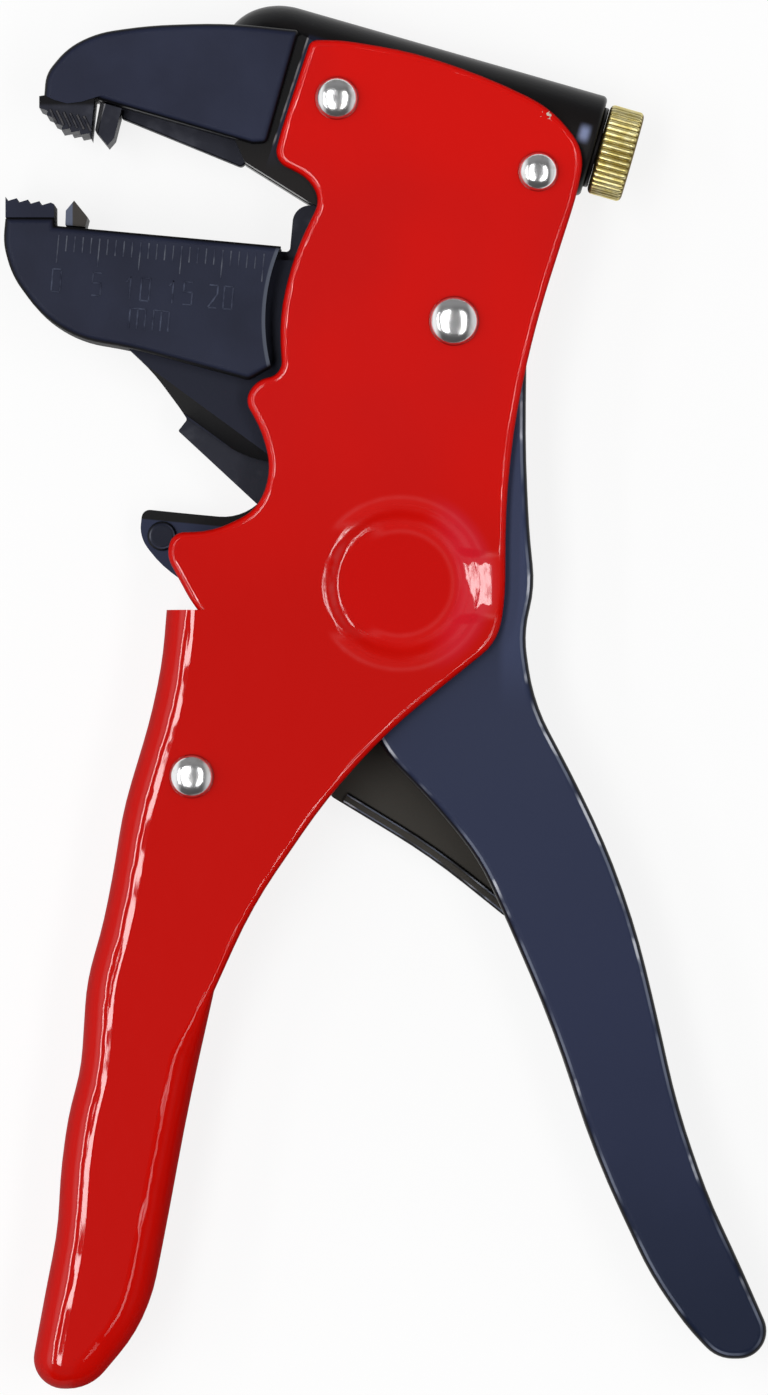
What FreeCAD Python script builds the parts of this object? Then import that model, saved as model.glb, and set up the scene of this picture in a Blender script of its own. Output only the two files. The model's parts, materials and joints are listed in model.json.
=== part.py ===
import FreeCAD, Part
import math
import os
from FreeCAD import Placement, Rotation, Vector

# Automatic wire stripper, in millimetres. It lies flat with its rivet heads up: +X across the
# handles, +Y towards the jaws, +Z out of the near plate. The origin is on the main pivot's axis,
# in the plane of the rivet tails that the tool rests on.

SIZES = [
    ("tail_height", 0.8, "peened rivet tails below the far plate"),
    ("sheet_thickness", 1.5, "frame sheet"),
    ("inner_width", 13.0, "clear width between the frame's plates"),
    ("bend_radius", 3.5, "outside radius of the frame's folds"),
    ("fold_runout", 8.0, "length over which the lip's fold grows out of the plate's edge"),
    ("lip_height", 2.6, "turned-in lip along the back of the grip, inside the sheet"),
    ("plate_edge_round", 0.8, "paint-rounded edges of the plates"),
    ("dish_x", -6.5, "centre of the pressed dish"),
    ("dish_y", -31.8, "centre of the pressed dish"),
    ("dish_radius", 9.7, "mouth of the pressed dish"),
    ("dish_rim", 2.6, "width of the dish's S-shaped rim"),
    ("dish_depth", 0.7, "depth of the dish"),
    ("front_rivet_x", -14.2, "rivet through the upper jaw"),
    ("front_rivet_y", 27.0, "rivet through the upper jaw"),
    ("front_head", 2.6, "head radius"),
    ("front_shank", 1.9, "shank radius"),
    ("rear_rivet_x", 10.2, "rivet below the tube's mouth"),
    ("rear_rivet_y", 18.1, "rivet below the tube's mouth"),
    ("rear_head", 2.4, "head radius"),
    ("rear_shank", 1.7, "shank radius"),
    ("main_head", 3.0, "head radius of the main pivot"),
    ("main_shank", 2.4, "shank radius of the main pivot"),
    ("stop_rivet_x", -31.8, "rivet in the grip"),
    ("stop_rivet_y", -55.2, "rivet in the grip"),
    ("stop_head", 2.65, "head radius"),
    ("stop_shank", 1.8, "shank radius"),
    ("dome_height", 1.7, "height of the domed heads"),
    ("tail_rim", 0.9, "how far a tail spreads past its shank"),
    ("bush_wall", 1.0, "wall of the pivot bush"),
    ("stop_sleeve_wall", 0.75, "wall of the stop sleeve"),
    ("fit_gap", 0.05, "radial gap of fixed pieces"),
    ("running_gap", 0.08, "radial gap of turning pieces"),
    ("slide_gap", 0.2, "side gap of sliding and swinging pieces"),
    ("handle_dish_gap", 0.3, "side gap between the handle and the pressed dish"),
    ("handle_wall", 1.6, "wall of the handle channel"),
    ("handle_round", 1.1, "rounded outer edges of the handle"),
    ("bead_width", 1.5, "rounded bead along the front of the handle's far wall"),
    ("bead_height", 0.8, "rounded bead along the front of the handle's far wall"),
    ("bead_round", 0.6, "rounded bead along the front of the handle's far wall"),
    ("boss_radius", 1.8, "cast boss near the end of the cutter's arm"),
    ("boss_height", 0.8, "cast boss near the end of the cutter's arm"),
    ("washer_radius", 6.0, "washers beside the handle"),
    ("tongue_width", 3.6, "lever tongue of the handle"),
    ("tongue_tip", 1.5, "radius of the tongue's round tip"),
    ("hub_radius", 6.5, "lower jaw's eye at the main pivot"),
    ("handle_hub", 8.6, "handle's eye at the main pivot"),
    ("cheek_inset", 0.4, "jaw cheeks lie below the plates' faces"),
    ("cheek_round", 0.8, "cast edges of the cheeks"),
    ("cheek_arc", 22.9, "radius of the lower cheeks' back edge about the main pivot"),
    ("neck_bevel_width", 2.0, "sloped side of the lower jaw's neck, seen from the front"),
    ("neck_bevel_depth", 4.0, "sloped side of the lower jaw's neck, along the rivets"),
    ("bar_width", 3.6, "blade bars"),
    ("bar_round", 0.3, "eased edges of the blade bars"),
    ("fork_prong", 1.9, "prongs of the upper blade bar's fork"),
    ("lug_length", 2.8, "lug of the upper blade bar in the tube"),
    ("lug_gap", 0.4, "end gap of the lug in its slot"),
    ("blade_bevel", 0.5, "ground flank of the upper blade"),
    ("blade_half_width", 5.6, "half the width of the stripping blades"),
    ("pad_inset", 0.3, "grip pads are narrower than the cheeks, each side"),
    ("cutter_thickness", 2.2, "wire cutter's plate"),
    ("cutter_rivet", 1.2, "radius of the cutter's rivets"),
    ("cutter_fit", 0.1, "gap round the cutter's plate in its recess"),
    ("tube_x", 19.76, "middle of the knob, on the tube's axis"),
    ("tube_y", 20.73, "middle of the knob, on the tube's axis"),
    ("tube_tilt", 16.0, "fall of the tube's axis, degrees"),
    ("tube_radius", 6.3, "spring tube"),
    ("tube_length", 39.2, "tube from its mouth to the middle of its round end"),
    ("tube_end_length", 7.6, "length of the tube's round end"),
    ("tube_mouth_round", 0.6, "rounded edge of the tube's mouth"),
    ("bore_radius", 3.0, "bore of the spring tube"),
    ("bore_depth", 27.2, "depth of the bore from the mouth"),
    ("knob_radius", 5.6, "brass knob over its ridges"),
    ("knob_length", 4.3, "brass knob"),
    ("knob_gap", 0.6, "gap between knob and tube"),
    ("knob_rim", 0.45, "plain rims beside the knurl"),
    ("knob_cap", 0.65, "closed end of the knob"),
    ("knob_ridges", 30, "ridges of the straight knurl"),
    ("ridge_depth", 0.35, "depth of the knurl"),
    ("screw_radius", 2.0, "adjusting screw where it enters the knob"),
    ("screw_thread", 2.9, "adjusting screw over its thread"),
    ("screw_reach", 4.0, "screw inside the bore"),
    ("seat_length", 1.4, "spring seat"),
    ("plunger_length", 4.4, "plunger"),
    ("spigot_length", 1.0, "spigots that centre the blade spring"),
    ("spring_wire", 0.4, "wire radius of the blade spring"),
    ("spring_turns", 8, "turns of the blade spring"),
    ("return_wire", 0.5, "wire radius of the return spring"),
    ("return_turns", 2.5, "turns of the return spring"),
    ("coil_gap", 0.3, "radial gap between the return spring and the bush"),
    ("squeeze", 18.0, "handle's full stroke, degrees"),
]

doc = FreeCAD.newDocument("wire_stripper")
sheet = doc.addObject("Spreadsheet::Sheet", "sizes")
for row, (alias, number, meaning) in enumerate(SIZES, start=1):
    sheet.set(f"A{row}", meaning)
    sheet.set(f"B{row}", str(number))
    sheet.setAlias(f"B{row}", alias)
doc.recompute()

# Levels along Z, as expressions on the sheet.
FAR_FACE = "sizes.tail_height"
FAR_INNER = "(sizes.tail_height + sizes.sheet_thickness)"
NEAR_INNER = "(sizes.tail_height + sizes.sheet_thickness + sizes.inner_width)"
NEAR_FACE = "(sizes.tail_height + 2 * sizes.sheet_thickness + sizes.inner_width)"
MIDDLE = "(sizes.tail_height + sizes.sheet_thickness + sizes.inner_width / 2)"
FRAME_WIDTH = "(2 * sizes.sheet_thickness + sizes.inner_width)"
HANDLE_HALF = "(sizes.inner_width / 2 - sizes.dish_depth - sizes.handle_dish_gap)"
NECK_HALF = f"({HANDLE_HALF} - sizes.handle_wall - sizes.slide_gap)"
SLOT_WIDTH = "(sizes.bar_width + 2 * sizes.slide_gap)"
BUSH_RADIUS = "(sizes.main_shank + sizes.fit_gap + sizes.bush_wall)"

nodes = []


def value(expression):
    return float(sheet.evalExpression(expression))


def new_body(label):
    body = doc.addObject("PartDesign::Body", label)
    body.Label = label
    nodes.append(body)
    return body


def rounded(corners):
    """Closed outline of lines and arcs. A corner (x, y, radius) has that radius, 0 is sharp, and
    a corner (x, y) has the largest radius that its two sides leave room for."""
    starts, ends, arcs = [], [], []
    for i, corner in enumerate(corners):
        here = Vector(corner[0], corner[1], 0)
        before = Vector(*corners[i - 1][:2], 0) - here
        after = Vector(*corners[(i + 1) % len(corners)][:2], 0) - here
        half_turn = (math.pi - before.getAngle(after)) / 2
        if len(corner) == 3:
            run = corner[2] * math.tan(half_turn)
        else:
            run = 0.48 * min(before.Length, after.Length)
        if run < 1e-6 or half_turn < 1e-4:
            starts.append(here)
            ends.append(here)
            arcs.append(None)
            continue
        radius = run / math.tan(half_turn)
        before.normalize()
        after.normalize()
        inward = (before + after).normalize()
        sagitta = radius / math.cos(half_turn) - radius
        starts.append(here + before * run)
        ends.append(here + after * run)
        arcs.append(Part.Arc(starts[-1], here + inward * sagitta, ends[-1]))
    curves = []
    for i, arc in enumerate(arcs):
        if arc:
            curves.append(arc)
        following = starts[(i + 1) % len(starts)]
        if (following - ends[i]).Length > 1e-6:
            curves.append(Part.LineSegment(ends[i], following))
    return curves


def inset(corners, distance):
    """The same corners moved to the right of the way by a distance, radii made smaller to match."""
    moved = []
    for i, corner in enumerate(corners):
        here = Vector(*corner[:2], 0)
        before = here - Vector(*corners[max(i - 1, 0)][:2], 0)
        after = Vector(*corners[min(i + 1, len(corners) - 1)][:2], 0) - here
        before = before if before.Length else after
        after = after if after.Length else before
        half_turn = before.getAngle(after) / 2
        along = (before.normalize() + after.normalize()).normalize()
        point = here + Vector(along.y, -along.x, 0) * (distance / math.cos(half_turn))
        radius = [max(corner[2] - distance, 0)] if len(corner) == 3 else []
        moved.append((point.x, point.y, *radius))
    return moved


def sketch_on(body, name, curves, level):
    sketch = body.newObject("Sketcher::SketchObject", name)
    plane = next(item for item in body.Origin.OriginFeatures if item.Role == "XY_Plane")
    sketch.AttachmentSupport = [(plane, "")]
    sketch.MapMode = "FlatFace"
    sketch.setExpression("AttachmentOffset.Base.z", level)
    sketch.addGeometry(curves, False)
    return sketch


def pad(body, name, curves, level, length):
    """Adds the outline's solid from a level upwards."""
    feature = body.newObject("PartDesign::Pad", name)
    feature.Profile = sketch_on(body, name + "_sketch", curves, level)
    feature.setExpression("Length", length)
    doc.recompute()
    return feature


def pocket(body, name, curves, level, length):
    """Cuts the outline's solid from a level upwards."""
    volume = body.Shape.Volume
    feature = body.newObject("PartDesign::Pocket", name)
    feature.Profile = sketch_on(body, name + "_sketch", curves, f"{level} + {length}")
    feature.setExpression("Length", length)
    doc.recompute()
    if feature.Shape.Volume > volume - 0.01:
        raise RuntimeError(name + " cuts nothing")
    return feature


def primitive(body, kind, name, place, axis=Vector(0, 0, 1), **sizes):
    """Adds or cuts a primitive whose own Z axis lies along the given axis."""
    feature = body.newObject("PartDesign::" + kind, name)
    feature.Placement = Placement(Vector(), Rotation(Vector(0, 0, 1), axis))
    for letter, expression in zip("xyz", place):
        feature.setExpression("Placement.Base." + letter, expression)
    for prop, expression in sizes.items():
        feature.setExpression(prop, expression)
    doc.recompute()
    return feature


def hole(body, name, place, radius):
    """Cuts a round hole along Z through the whole width of the tool."""
    primitive(body, "SubtractiveCylinder", name, (*place, "0"), Radius=radius, Height="2 * " + NEAR_FACE)


def round_edges(body, name, wanted, radius):
    """Rounds the tip's edges that the test function picks."""
    base = body.Tip
    picked = [f"Edge{i}" for i, edge in enumerate(base.Shape.Edges, start=1) if wanted(edge)]
    if not picked:
        raise RuntimeError(name + " finds no edge")
    feature = body.newObject("PartDesign::Fillet", name)
    feature.Base = (base, picked)
    feature.setExpression("Radius", radius)
    doc.recompute()
    return feature


def bevel_edges(body, name, wanted, size):
    """Bevels the tip's edges that the test function picks."""
    base = body.Tip
    picked = [f"Edge{i}" for i, edge in enumerate(base.Shape.Edges, start=1) if wanted(edge)]
    feature = body.newObject("PartDesign::Chamfer", name)
    feature.Base = (base, picked)
    feature.setExpression("Size", size)
    doc.recompute()
    return feature


def flat_at(edge, level):
    return abs(edge.BoundBox.ZMin - level) < 1e-4 and abs(edge.BoundBox.ZMax - level) < 1e-4


def middle_of(edge):
    return edge.valueAt((edge.FirstParameter + edge.LastParameter) / 2)


FRONT_RIVET = ("sizes.front_rivet_x", "sizes.front_rivet_y")
REAR_RIVET = ("sizes.rear_rivet_x", "sizes.rear_rivet_y")
STOP_RIVET = ("sizes.stop_rivet_x", "sizes.stop_rivet_y")
MAIN_PIVOT = ("0", "0")

# Frame: one steel sheet folded into a channel at the grip and left as two plates round the head.
GRIP_TOP = (-31.1, -35.0, 0)
GRIP_BACK = (-29.3, -81.6, 0)
WEB_TOP = (-34.9, -35.0, 0)
FINGER_GROOVES = [
    (-35.4, -41.1), (-36.8, -48.0), (-40.2, -59.3), (-41.3, -66.5), (-42.7, -73.6), (-44.6, -79.9),
    (-45.3, -90.8), (-46.8, -96.1), (-47.8, -103.2), (-48.1, -110.2), (-49.5, -117.2),
]
GRIP_END = [(-51.8, -129.7, 3.7), (-44.2, -129.6, 5.8), (-37.3, -121.4), (-35.0, -109.8), (-32.5, -96.1)]
PLATE_FRONT = [
    (-32.1, -33.6), (-34.9, -28.4), (-34.1, -25.6), (-29.3, -25.5), (-23.8, -22.9), (-22.1, -18.1),
    (-23.3, -13.2), (-25.4, -9.6), (-24.0, -7.2), (-20.8, -6.4), (-21.2, 0.5), (-19.4, 8.1),
    (-16.2, 14.7), (-17.7, 17.4), (-21.9, 19.5), (-21.0, 23.0),
]
PLATE_BACK = [
    (-17.4, 34.1, 1.2), (-13.6, 34.1), (-4.6, 32.6), (4.7, 29.3), (11.9, 25.8), (15.9, 20.7), (15.0, 15.6),
    (13.1, 9.7), (10.8, 2.5), (9.1, -3.9), (7.4, -12.0), (6.3, -21.7), (6.2, -33.8), (5.3, -38.9),
    (-0.2, -43.3), (-8.0, -49.7), (-15.4, -57.8), (-24.6, -71.2),
]


LIP_FOOT = Vector(*GRIP_END[-1], 0)
BACK_EDGE = (Vector(*GRIP_BACK) - LIP_FOOT).normalize()
BACK_OUT = Vector(BACK_EDGE.y, -BACK_EDGE.x, 0)
FOLD_END = Vector(*GRIP_BACK) - BACK_OUT * value("sizes.bend_radius + sizes.fit_gap")
OPENING = Part.makePolygon([Vector(*GRIP_TOP), FOLD_END, Vector(*GRIP_BACK)])
LIP_SLOT = [
    (-34.5, -78.0, 0), (-44.0, -118.0, 0), (-47.0, -125.5, 0), (-47.0, -136.0, 0), (-20.0, -136.0, 0),
    (-20.0, -78.0, 0),
]


def on_opening(point):
    """True on the line where the grip meets the plates, and on the cut top of the web."""
    flat = Part.Vertex(point.x, point.y, 0)
    return OPENING.distToShape(flat)[0] < 0.01 or point.y > WEB_TOP[1] - 0.01


def dish_outline(level, drop, cap):
    """Half section of the dish: an S of two equal arcs from the mouth at a level down to the floor,
    closed through the axis and a cap level. A negative drop rises."""
    mouth = value("sizes.dish_radius")
    width = value("sizes.dish_rim")
    bend = (width ** 2 + drop ** 2) / (4 * abs(drop))
    half = math.asin(width / 2 / bend) / 2
    reach = bend * math.sin(half)
    lean = math.copysign(bend * (1 - math.cos(half)), drop)
    start = Vector(mouth, level, 0)
    middle = Vector(mouth - width / 2, level - drop / 2, 0)
    end = Vector(mouth - width, level - drop, 0)
    corners = [end, Vector(0, level - drop, 0), Vector(0, cap, 0), Vector(mouth, cap, 0), start]
    rim = [
        Part.Arc(start, start - Vector(reach, lean, 0), middle),
        Part.Arc(middle, end + Vector(reach, lean, 0), end),
    ]
    return rim + [Part.LineSegment(here, there) for here, there in zip(corners, corners[1:])]


def press_dish(frame, kind, name, level, drop, cap):
    """Adds or cuts the dish's half section, turned about the dish's upright axis."""
    volume = frame.Shape.Volume
    sketch = frame.newObject("Sketcher::SketchObject", name + "_sketch")
    plane = next(item for item in frame.Origin.OriginFeatures if item.Role == "XZ_Plane")
    sketch.AttachmentSupport = [(plane, "")]
    sketch.MapMode = "FlatFace"
    sketch.setExpression("AttachmentOffset.Base.x", "sizes.dish_x")
    sketch.setExpression("AttachmentOffset.Base.z", "-sizes.dish_y")
    sketch.addGeometry(dish_outline(value(level), drop, value(cap)), False)
    feature = frame.newObject("PartDesign::" + kind, name)
    feature.Profile = sketch
    feature.ReferenceAxis = (sketch, ["V_Axis"])
    feature.Angle = 360
    doc.recompute()
    if abs(feature.Shape.Volume - volume) < 1.0:
        raise RuntimeError(name + " changes nothing")


def fold_section(frame, name, place, level, upward, edge_round):
    """Section across the back edge: a corner with the given round over the middle of the fold's sheet."""
    fold = value("sizes.bend_radius")
    core = fold - value("sizes.sheet_thickness") / 2
    diagonal = Vector(1, 1, 0).normalize()
    top = [Vector(-fold, core - fold, 0), Vector(-fold, 0, 0), Vector(-edge_round, 0, 0)]
    side = [Vector(0, -edge_round, 0), Vector(0, -fold, 0), Vector(core - fold, -fold, 0)]
    corner = Vector(-edge_round, -edge_round, 0) + diagonal * edge_round
    inner = Vector(-fold, -fold, 0) + diagonal * core
    curves = [Part.LineSegment(here, there) for run in (top, side) for here, there in zip(run, run[1:])]
    curves += [Part.Arc(top[2], corner, side[0]), Part.Arc(side[2], inner, top[0])]
    sketch = sketch_on(frame, name, curves, level)
    turn = Rotation(BACK_OUT, upward, BACK_OUT.cross(upward), "XYZ")
    sketch.AttachmentOffset = Placement(Vector(place.x, place.y, value(level)), turn)
    return sketch


def make_frame():
    frame = new_body("frame")
    grip = rounded([GRIP_TOP, WEB_TOP, *FINGER_GROOVES, *GRIP_END, GRIP_BACK, (FOLD_END.x, FOLD_END.y, 0)])
    pad(frame, "grip_block", grip, FAR_FACE, FRAME_WIDTH)
    faces = (value(FAR_FACE), value(NEAR_FACE))
    round_edges(
        frame, "folds",
        lambda edge: any(flat_at(edge, z) for z in faces) and not on_opening(middle_of(edge)),
        "sizes.bend_radius",
    )
    block = frame.Tip
    open_faces = [
        f"Face{i}" for i, face in enumerate(block.Shape.Faces, start=1)
        if abs(face.normalAt(0, 0).z) < 0.01 and on_opening(face.CenterOfMass)
    ]
    shell = frame.newObject("PartDesign::Thickness", "grip_shell")
    shell.Base = (block, open_faces)
    shell.Reversed = True
    shell.setExpression("Value", "sizes.sheet_thickness")
    doc.recompute()
    lip = "(sizes.sheet_thickness + sizes.lip_height)"
    pocket(frame, "lip_slot", rounded(LIP_SLOT), f"({FAR_FACE} + {lip})", f"({FRAME_WIDTH} - 2 * {lip})")
    plate = rounded([GRIP_TOP, *PLATE_FRONT, *PLATE_BACK, GRIP_BACK, (FOLD_END.x, FOLD_END.y, 0)])
    pad(frame, "far_plate", plate, FAR_FACE, "sizes.sheet_thickness")
    pad(frame, "near_plate", plate, NEAR_INNER, "sizes.sheet_thickness")
    border = Part.Wire(Part.__sortEdges__([curve.toShape() for curve in plate]))

    def on_border(point):
        flat = Part.Vertex(point.x, point.y, 0)
        return border.distToShape(flat)[0] < 0.001 and not on_opening(point)

    round_edges(
        frame, "plate_edges",
        lambda edge: any(flat_at(edge, z) for z in faces) and on_border(middle_of(edge)),
        "sizes.plate_edge_round",
    )
    runout_end = Vector(*GRIP_BACK) - BACK_EDGE * value("sizes.fold_runout")
    smallest = value("sizes.plate_edge_round + 2 * sizes.fit_gap")
    largest = value("sizes.bend_radius - sizes.fit_gap")
    for side, level, upward in (("far", FAR_FACE, Vector(0, 0, -1)), ("near", NEAR_FACE, Vector(0, 0, 1))):
        start = fold_section(frame, side + "_runout_start", Vector(*GRIP_BACK), level, upward, smallest)
        end = fold_section(frame, side + "_runout_end", runout_end, level, upward, largest)
        runout = frame.newObject("PartDesign::AdditiveLoft", side + "_runout")
        runout.Profile = start
        runout.Sections = [end]
        runout.Ruled = True
        doc.recompute()
    depth = value("sizes.dish_depth")
    half_sheet = "sizes.sheet_thickness / 2"
    press_dish(frame, "Revolution", "near_boss", NEAR_INNER, depth, f"{NEAR_INNER} + {half_sheet}")
    press_dish(frame, "Revolution", "far_boss", FAR_INNER, -depth, f"{FAR_INNER} - {half_sheet}")
    press_dish(frame, "Groove", "near_dish", NEAR_FACE, depth, f"{NEAR_FACE} + {half_sheet}")
    press_dish(frame, "Groove", "far_dish", FAR_FACE, -depth, f"{FAR_FACE} - {half_sheet}")
    hole(frame, "front_rivet_holes", FRONT_RIVET, "sizes.front_shank + sizes.fit_gap")
    hole(frame, "rear_rivet_holes", REAR_RIVET, "sizes.rear_shank + sizes.fit_gap")
    hole(frame, "stop_rivet_holes", STOP_RIVET, "sizes.stop_shank + sizes.fit_gap")
    hole(frame, "main_pivot_holes", MAIN_PIVOT, "sizes.main_shank + sizes.fit_gap")


def make_rivet(label, place, shank, head):
    """Domed head on the near plate, flat peened tail on the far one."""
    rivet = new_body(label)
    ball = f"(({head} * {head} + sizes.dome_height * sizes.dome_height) / (2 * sizes.dome_height))"
    primitive(rivet, "AdditiveCylinder", label + "_shank", (*place, "0"), Radius=shank, Height=NEAR_FACE)
    primitive(
        rivet, "AdditiveCylinder", label + "_tail", (*place, "0"),
        Radius=f"{shank} + sizes.tail_rim", Height="sizes.tail_height",
    )
    primitive(
        rivet, "AdditiveSphere", label + "_head", (*place, f"{NEAR_FACE} + sizes.dome_height - {ball}"),
        Radius=ball, Angle1=f"asin(1 - sizes.dome_height / {ball})",
    )


def make_sleeve(label, place, inner, outer):
    """Spacer sleeve that fills the width between the plates."""
    sleeve = new_body(label)
    primitive(
        sleeve, "AdditiveCylinder", label + "_wall", (*place, FAR_INNER),
        Radius=outer, Height="sizes.inner_width",
    )
    hole(sleeve, label + "_bore", place, inner)


def make_group(label, members):
    """Like pieces that share one node."""
    group = doc.addObject("Part::Compound", label)
    group.Label = label
    group.Links = members
    nodes.append(group)


def loose_cylinder(name, place, radius, height):
    cylinder = doc.addObject("Part::Cylinder", name)
    for letter, expression in zip("xyz", place):
        cylinder.setExpression("Placement.Base." + letter, expression)
    cylinder.setExpression("Radius", radius)
    cylinder.setExpression("Height", height)
    return cylinder


def make_washers():
    """Two washers that fill the side room between the handle and the plates."""
    thickness = "(sizes.dish_depth + sizes.handle_dish_gap - sizes.running_gap)"
    inner = f"{BUSH_RADIUS} + sizes.fit_gap"
    rings = []
    for side, level in (("far", FAR_INNER), ("near", f"{NEAR_INNER} - {thickness}")):
        disc = loose_cylinder(side + "_washer_disc", ("0", "0", level), "sizes.washer_radius", thickness)
        bore = loose_cylinder(side + "_washer_bore", ("0", "0", level), inner, thickness)
        ring = doc.addObject("Part::Cut", side + "_washer")
        ring.Base = disc
        ring.Tool = bore
        rings.append(ring)
    make_group("pivot_washers", rings)


# Tube axis: s runs along it to the knob's side, d is the distance below it, and s = 0 in mid knob.
TILT = math.radians(value("sizes.tube_tilt"))
AXIS = Vector(math.cos(TILT), -math.sin(TILT), 0)
BELOW = Vector(-math.sin(TILT), -math.cos(TILT), 0)
KNOB_MIDDLE = Vector(value("sizes.tube_x"), value("sizes.tube_y"), 0)
MOUTH = -value("sizes.knob_length / 2 + sizes.knob_gap")
PIVOT_S = -KNOB_MIDDLE.dot(AXIS)
PIVOT_D = -KNOB_MIDDLE.dot(BELOW)


def under_tube(*corners):
    """Corners given as (s, d) or (s, d, radius), turned into the tool's plane."""
    placed = []
    for s, d, *radius in corners:
        point = KNOB_MIDDLE + AXIS * s + BELOW * d
        placed.append((point.x, point.y, *radius))
    return placed


def on_axis(s):
    """Placement expressions of a point on the tube's axis, in the middle plane."""
    point = KNOB_MIDDLE + AXIS * s
    return (str(point.x), str(point.y), MIDDLE)


# The tongue's tip swings evenly to both sides of the pivot's foot on the tube's axis.
HALF_STROKE = math.radians(value("sizes.squeeze")) / 2
TIP_D = 10.4
TIP_S = PIVOT_S - (PIVOT_D - TIP_D) * math.tan(HALF_STROKE)
BLADE_TRAVEL = 2 * (PIVOT_D - TIP_D) * math.tan(HALF_STROKE)

# Lower jaw: s runs back along the top edge from the step behind the pad, d is the depth below it.
STEP = Vector(-48.4, 11.6, 0)
EDGE = Vector(26.2, -2.4, 0).normalize()
DEEPER = Vector(EDGE.y, -EDGE.x, 0)


def in_lower_jaw(*corners):
    placed = []
    for s, d, *radius in corners:
        point = STEP + EDGE * s + DEEPER * d
        placed.append((point.x, point.y, *radius))
    return placed


CHEEK_BOTTOM = f"({FAR_FACE} + sizes.cheek_inset)"
CHEEK_WIDTH = f"({FRAME_WIDTH} - 2 * sizes.cheek_inset)"
SLOT_BOTTOM = f"({MIDDLE} - {SLOT_WIDTH} / 2)"
BAR_BOTTOM = f"({MIDDLE} - sizes.bar_width / 2)"
PAD_BOTTOM = f"({CHEEK_BOTTOM} + sizes.pad_inset)"
PAD_WIDTH = f"({CHEEK_WIDTH} - 2 * sizes.pad_inset)"
BLADE_BOTTOM = f"({MIDDLE} - sizes.blade_half_width)"
NECK_BOTTOM = f"({MIDDLE} - {NECK_HALF})"
HANDLE_BOTTOM = f"({MIDDLE} - {HANDLE_HALF})"

PAD_SEAT = [(-43.6, 27.1, 0), (-45.2, 26.6, 0), (-46.9, 26.4, 0), (-48.4, 26.8, 0), (-49.7, 27.4, 0)]
UPPER_CHEEK = [
    *PAD_SEAT, (-49.5, 30.0), (-46.9, 33.2), (-43.2, 35.0), (-37.0, 35.9), (-27.5, 36.2),
    (-18.8, 35.3, 0.4), (-22.7, 21.6, 0.8), (-24.4, 21.5, 1.0), (-42.4, 26.7, 0.3),
]
TENON = [
    (-18.4, 34.8, 0), (-10.0, 30.0, 0), (12.0, 23.0, 0), (14.2, 17.0, 1.0), (12.6, 12.8, 2.0),
    (4.0, 10.9, 4.0), (-4.0, 10.0, 3.0), (-10.0, 11.2, 3.0), (-17.4, 14.4, 3.0), (-25.4, 19.4, 0.5),
    (-30.0, 30.0, 0),
]
BAR_SLOT_TOP = 5.8
BAR_SLOT_FRONT = -62.2
BAR_SLOT_BACK = -4.0
BAR_SLOT_FOOT = 24.0


def make_upper_jaw():
    """Casting between the plates: two cheeks, a tenon and the spring tube along the top."""
    jaw = new_body("upper_jaw")
    pad(jaw, "cheeks", rounded(UPPER_CHEEK), CHEEK_BOTTOM, CHEEK_WIDTH)
    levels = (value(CHEEK_BOTTOM), value(f"{CHEEK_BOTTOM} + {CHEEK_WIDTH}"))
    seat_right = max(corner[0] for corner in PAD_SEAT)
    seat_top = max(corner[1] for corner in PAD_SEAT)

    def on_seat(point):
        return point.x < seat_right and point.y < seat_top

    round_edges(
        jaw, "cheek_edges",
        lambda edge: any(flat_at(edge, z) for z in levels) and not on_seat(middle_of(edge)),
        "sizes.cheek_round",
    )
    pad(jaw, "tenon", rounded(TENON), FAR_INNER, "sizes.inner_width")
    end = MOUTH - value("sizes.tube_length")
    primitive(
        jaw, "AdditiveCylinder", "tube", on_axis(end), AXIS,
        Radius="sizes.tube_radius", Height="sizes.tube_length",
    )
    mouth = KNOB_MIDDLE + AXIS * MOUTH + Vector(0, 0, value(MIDDLE))
    rim = value("sizes.tube_radius")

    def on_mouth(edge):
        spoke = middle_of(edge) - mouth
        return abs(spoke.dot(AXIS)) < 1e-4 and abs(spoke.Length - rim) < 1e-4

    round_edges(jaw, "tube_mouth", on_mouth, "sizes.tube_mouth_round")
    primitive(
        jaw, "AdditiveEllipsoid", "tube_end", on_axis(end), AXIS,
        Radius1="sizes.tube_end_length", Radius2="sizes.tube_radius", Radius3="sizes.tube_radius",
    )
    primitive(
        jaw, "SubtractiveCylinder", "bore", on_axis(MOUTH - value("sizes.bore_depth")), AXIS,
        Radius="sizes.bore_radius", Height="sizes.bore_depth",
    )
    bar_slot = under_tube(
        (BAR_SLOT_FRONT, BAR_SLOT_TOP, 0), (BAR_SLOT_BACK, BAR_SLOT_TOP, 0),
        (BAR_SLOT_BACK, BAR_SLOT_FOOT, 0), (BAR_SLOT_FRONT, BAR_SLOT_FOOT, 0),
    )
    pocket(jaw, "bar_slot", rounded(bar_slot), SLOT_BOTTOM, SLOT_WIDTH)
    lug_front = LUG_S - value("sizes.lug_gap")
    lug_back = LUG_S + value("sizes.lug_length + sizes.lug_gap") + BLADE_TRAVEL
    lug_slot = under_tube(
        (lug_front, 0, 0), (lug_back, 0, 0), (lug_back, BAR_TOP, 0), (lug_front, BAR_TOP, 0),
    )
    pocket(jaw, "lug_slot", rounded(lug_slot), SLOT_BOTTOM, SLOT_WIDTH)
    hole(jaw, "front_rivet_hole", FRONT_RIVET, "sizes.front_shank + sizes.fit_gap")
    hole(jaw, "rear_rivet_hole", REAR_RIVET, "sizes.rear_shank + sizes.fit_gap")


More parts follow.
